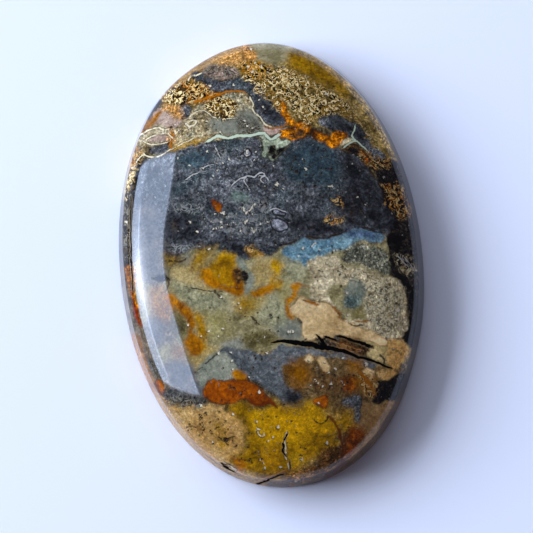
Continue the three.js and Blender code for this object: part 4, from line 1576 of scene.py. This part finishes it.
def add_object(name, data):
    made = bpy.data.objects.new(name, data)
    bpy.context.scene.collection.objects.link(made)
    return made


def stand(made, spot, right, upward, backward):
    """Put an object at a spot, with its own three directions turned this way."""
    turned = Matrix((right, upward, backward)).transposed().to_4x4()
    made.matrix_world = Matrix.Translation(spot) @ turned


# The stone itself
points, unrolled, faces, side_faces = build_stone()
mesh = bpy.data.meshes.new("polished_cabochon")
mesh.from_pydata((points * MM).tolist(), [], faces)
mesh.update()
mesh.shade_smooth()

pixels = pattern_points(points)
for layer in MINERALS:
    store(mesh, "depth_" + layer["name"], patch_depth(pixels, layer["outlines"]))
for kind in VEINS:
    store(mesh, "line_" + kind["name"], line_course(pixels, kind["lines"]))
for kind in WORMS:
    store(mesh, "worms_" + kind["name"], patch_depth(pixels, kind["zones"]))
pale_flecks = PALE_FLECKS + strewn_flecks(seed=11, column=PALE_COLUMN)
dark_flecks = DARK_FLECKS + strewn_flecks(seed=12, column=DARK_COLUMN)
store(mesh, "pale_flecks", fleck_place(pixels, pale_flecks))
store(mesh, "dark_flecks", fleck_place(pixels, dark_flecks))
normals = np.empty(len(points) * 3, dtype=np.float32)
mesh.vertices.foreach_get("normal", normals)
normals = normals.reshape(-1, 3).astype(float)
store(mesh, "dull", dull_wall(normals, points[:, 2]))
# The painted counter-shade against the room's lights, and the broad changes of light and dark
store(mesh, "shade", painted_shade_and_spot_stops(pixels, normals, points[:, 2]))

# The unrolled skin lies on one side of the texture square, and the back beside it
SKIN_SCALE = 1 / 62
SKIN_MIDDLE = (0.29, 0.5)
BACK_MIDDLE = (0.78, 0.5)
direction = np.arctan2(points[:, 1] + MIDDLE[1], points[:, 0] + MIDDLE[0])
outward = np.column_stack((np.cos(direction), np.sin(direction)))
skin = outward * unrolled[:, None] * SKIN_SCALE + SKIN_MIDDLE
back = (points[:, :2] + MIDDLE) * (-SKIN_SCALE, SKIN_SCALE) + BACK_MIDDLE
loop_points = np.empty(len(mesh.loops), dtype=np.int32)
mesh.loops.foreach_get("vertex_index", loop_points)
on_back = np.zeros(len(mesh.loops), dtype=bool)
on_back[mesh.polygons[side_faces].loop_start:] = True
corners = np.where(on_back[:, None], back[loop_points], skin[loop_points])
texture_map = mesh.uv_layers.new(name="OFBake")
texture_map.data.foreach_set("uv", corners.ravel())

pattern = pattern_group()
mesh.materials.append(stone_material(
    "polished_agate", pattern, roughness=0.035, roughness_change=0.05, bump_depth=0.02, scratch=0.0))
mesh.materials.append(stone_material(
    "lapped_agate", pattern, roughness=0.38, roughness_change=0.15, bump_depth=0.004, scratch=0.6))
# The bevel's strips are the last faces before the back, and both are lapped
lapped_from = side_faces - BEVEL_STRIPS * 2 * (GRID_ACROSS + GRID_ALONG)
finish = np.zeros(len(mesh.polygons), dtype=np.int32)
finish[lapped_from:] = 1
mesh.polygons.foreach_set("material_index", finish)

cabochon = add_object("polished_cabochon", mesh)
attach(cabochon, "root")
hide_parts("cabochon")

# A plain pale floor
FLOOR_REACH = 1.5
floor_corners = [(FLOOR_REACH * x, FLOOR_REACH * y, 0) for x, y in ((-1, -1), (1, -1), (1, 1), (-1, 1))]
floor_mesh = bpy.data.meshes.new("floor")
floor_mesh.from_pydata(floor_corners, [], [(0, 1, 2, 3)])
floor = add_object("floor", floor_mesh)
paper = bpy.data.materials.new("pale_floor")
paper.use_nodes = True
paper_shader = paper.node_tree.nodes["Principled BSDF"]
paper_shader.inputs["Base Color"].default_value = (0.88, 0.90, 0.93, 1)
paper_shader.inputs["Roughness"].default_value = 0.8
floor_mesh.materials.append(paper)


def light_axes(turn, tilt):
    """Facing, side and up directions of a light, turned up from the photograph's left and raised."""
    facing = Vector(towards_light(turn, tilt))
    sideways = Vector(towards_light(turn + 90, 0))
    upright = facing.cross(sideways)
    if upright.z < 0:
        upright = -upright
    return facing, sideways, upright


def soft_light(name, axes, centre, distance, size, strength, tint):
    """A flat soft light that faces the stone. Its centre and size are shares of its distance."""
    facing, sideways, upright = axes
    data = bpy.data.lights.new(name, "AREA")
    data.shape = "RECTANGLE"
    data.size, data.size_y = (extent * distance for extent in size)
    data.color = tint
    data.energy = strength * math.pi * data.size * data.size_y
    light = add_object(name, data)
    spot = (facing + sideways * centre[0] + upright * centre[1]) * distance
    if sideways.cross(upright).dot(facing) < 0:
        sideways = -sideways
    stand(light, spot, sideways, upright, facing)
    return light


# The window at the photograph's left, as its reflection shows it: the centre, distance, size and
# strength of each part. Only the polish shows it.
WINDOW_TINT = (0.56, 0.71, 1.0)
window_axes = light_axes(-1.9, 32.9)
for name, centre, distance, size, strength in (
    ("window", (0.034, -0.030), 0.60, (0.790, 0.626), 8.8),
    ("window_bar", (-0.03, -0.105), 0.59, (0.53, 0.022), 14.0),
    ("window_lower_pane", (0.034, -0.224), 0.59, (0.790, 0.238), 3.4),
    ("window_frame_edge", (0.034, 0.280), 0.59, (0.79, 0.007), 9.0),
):
    pane = soft_light(name, window_axes, centre, distance, size, strength, WINDOW_TINT)
    pane.visible_diffuse = False
# The glare low in the window: smaller and brighter ovals, each a little nearer than the last
GLARE_TINT = (0.78, 0.84, 1.0)
GLARE_CENTRE = (0.035, -0.14)
GLARE_DISTANCE = 0.58
GLARE_STEP = 0.005
for number, (size, strength) in enumerate((
    ((0.34, 0.50), 1.4),
    ((0.27, 0.38), 2.0),
    ((0.21, 0.28), 3.0),
    ((0.15, 0.20), 4.0),
    ((0.10, 0.13), 5.0),
)):
    distance = GLARE_DISTANCE - GLARE_STEP * number
    name = f"window_glare_{number}"
    glare = soft_light(name, window_axes, GLARE_CENTRE, distance, size, strength, GLARE_TINT)
    glare.data.shape = "ELLIPSE"
    glare.visible_diffuse = False

# The room's light itself is broader, and comes more from the photograph's upper left
DAYLIGHT_TINT = (0.66, 0.75, 1.0)
for name, turn, tilt, size, strength in (
    ("daylight", 19, 28, (1.0, 0.55), 13.6),
    ("side_daylight", 78, 42, (1.0, 0.9), 1.6),
):
    daylight = soft_light(name, light_axes(turn, tilt), (0, 0), 0.6, size, strength, DAYLIGHT_TINT)
    daylight.visible_glossy = False

world = bpy.data.worlds.new("room")
world.use_nodes = True
room = world.node_tree.nodes["Background"]
room.inputs["Color"].default_value = (0.80, 0.74, 1.0, 1)
room.inputs["Strength"].default_value = 0.11
bpy.context.scene.world = world

# The camera stands as in the photograph
SENSOR_WIDTH = 36
camera_data = bpy.data.cameras.new("camera")
camera_data.sensor_width = SENSOR_WIDTH
camera_data.lens = SENSOR_WIDTH * FOCAL_PIXELS / FRAME_PIXELS
camera_data.clip_start = 0.01
camera = add_object("camera", camera_data)
stand(camera, Vector(CAMERA_SPOT) * MM, CAMERA_RIGHT, CAMERA_UP, CAMERA_BACK)
bpy.context.scene.camera = camera
bpy.context.scene.view_settings.view_transform = "Standard"
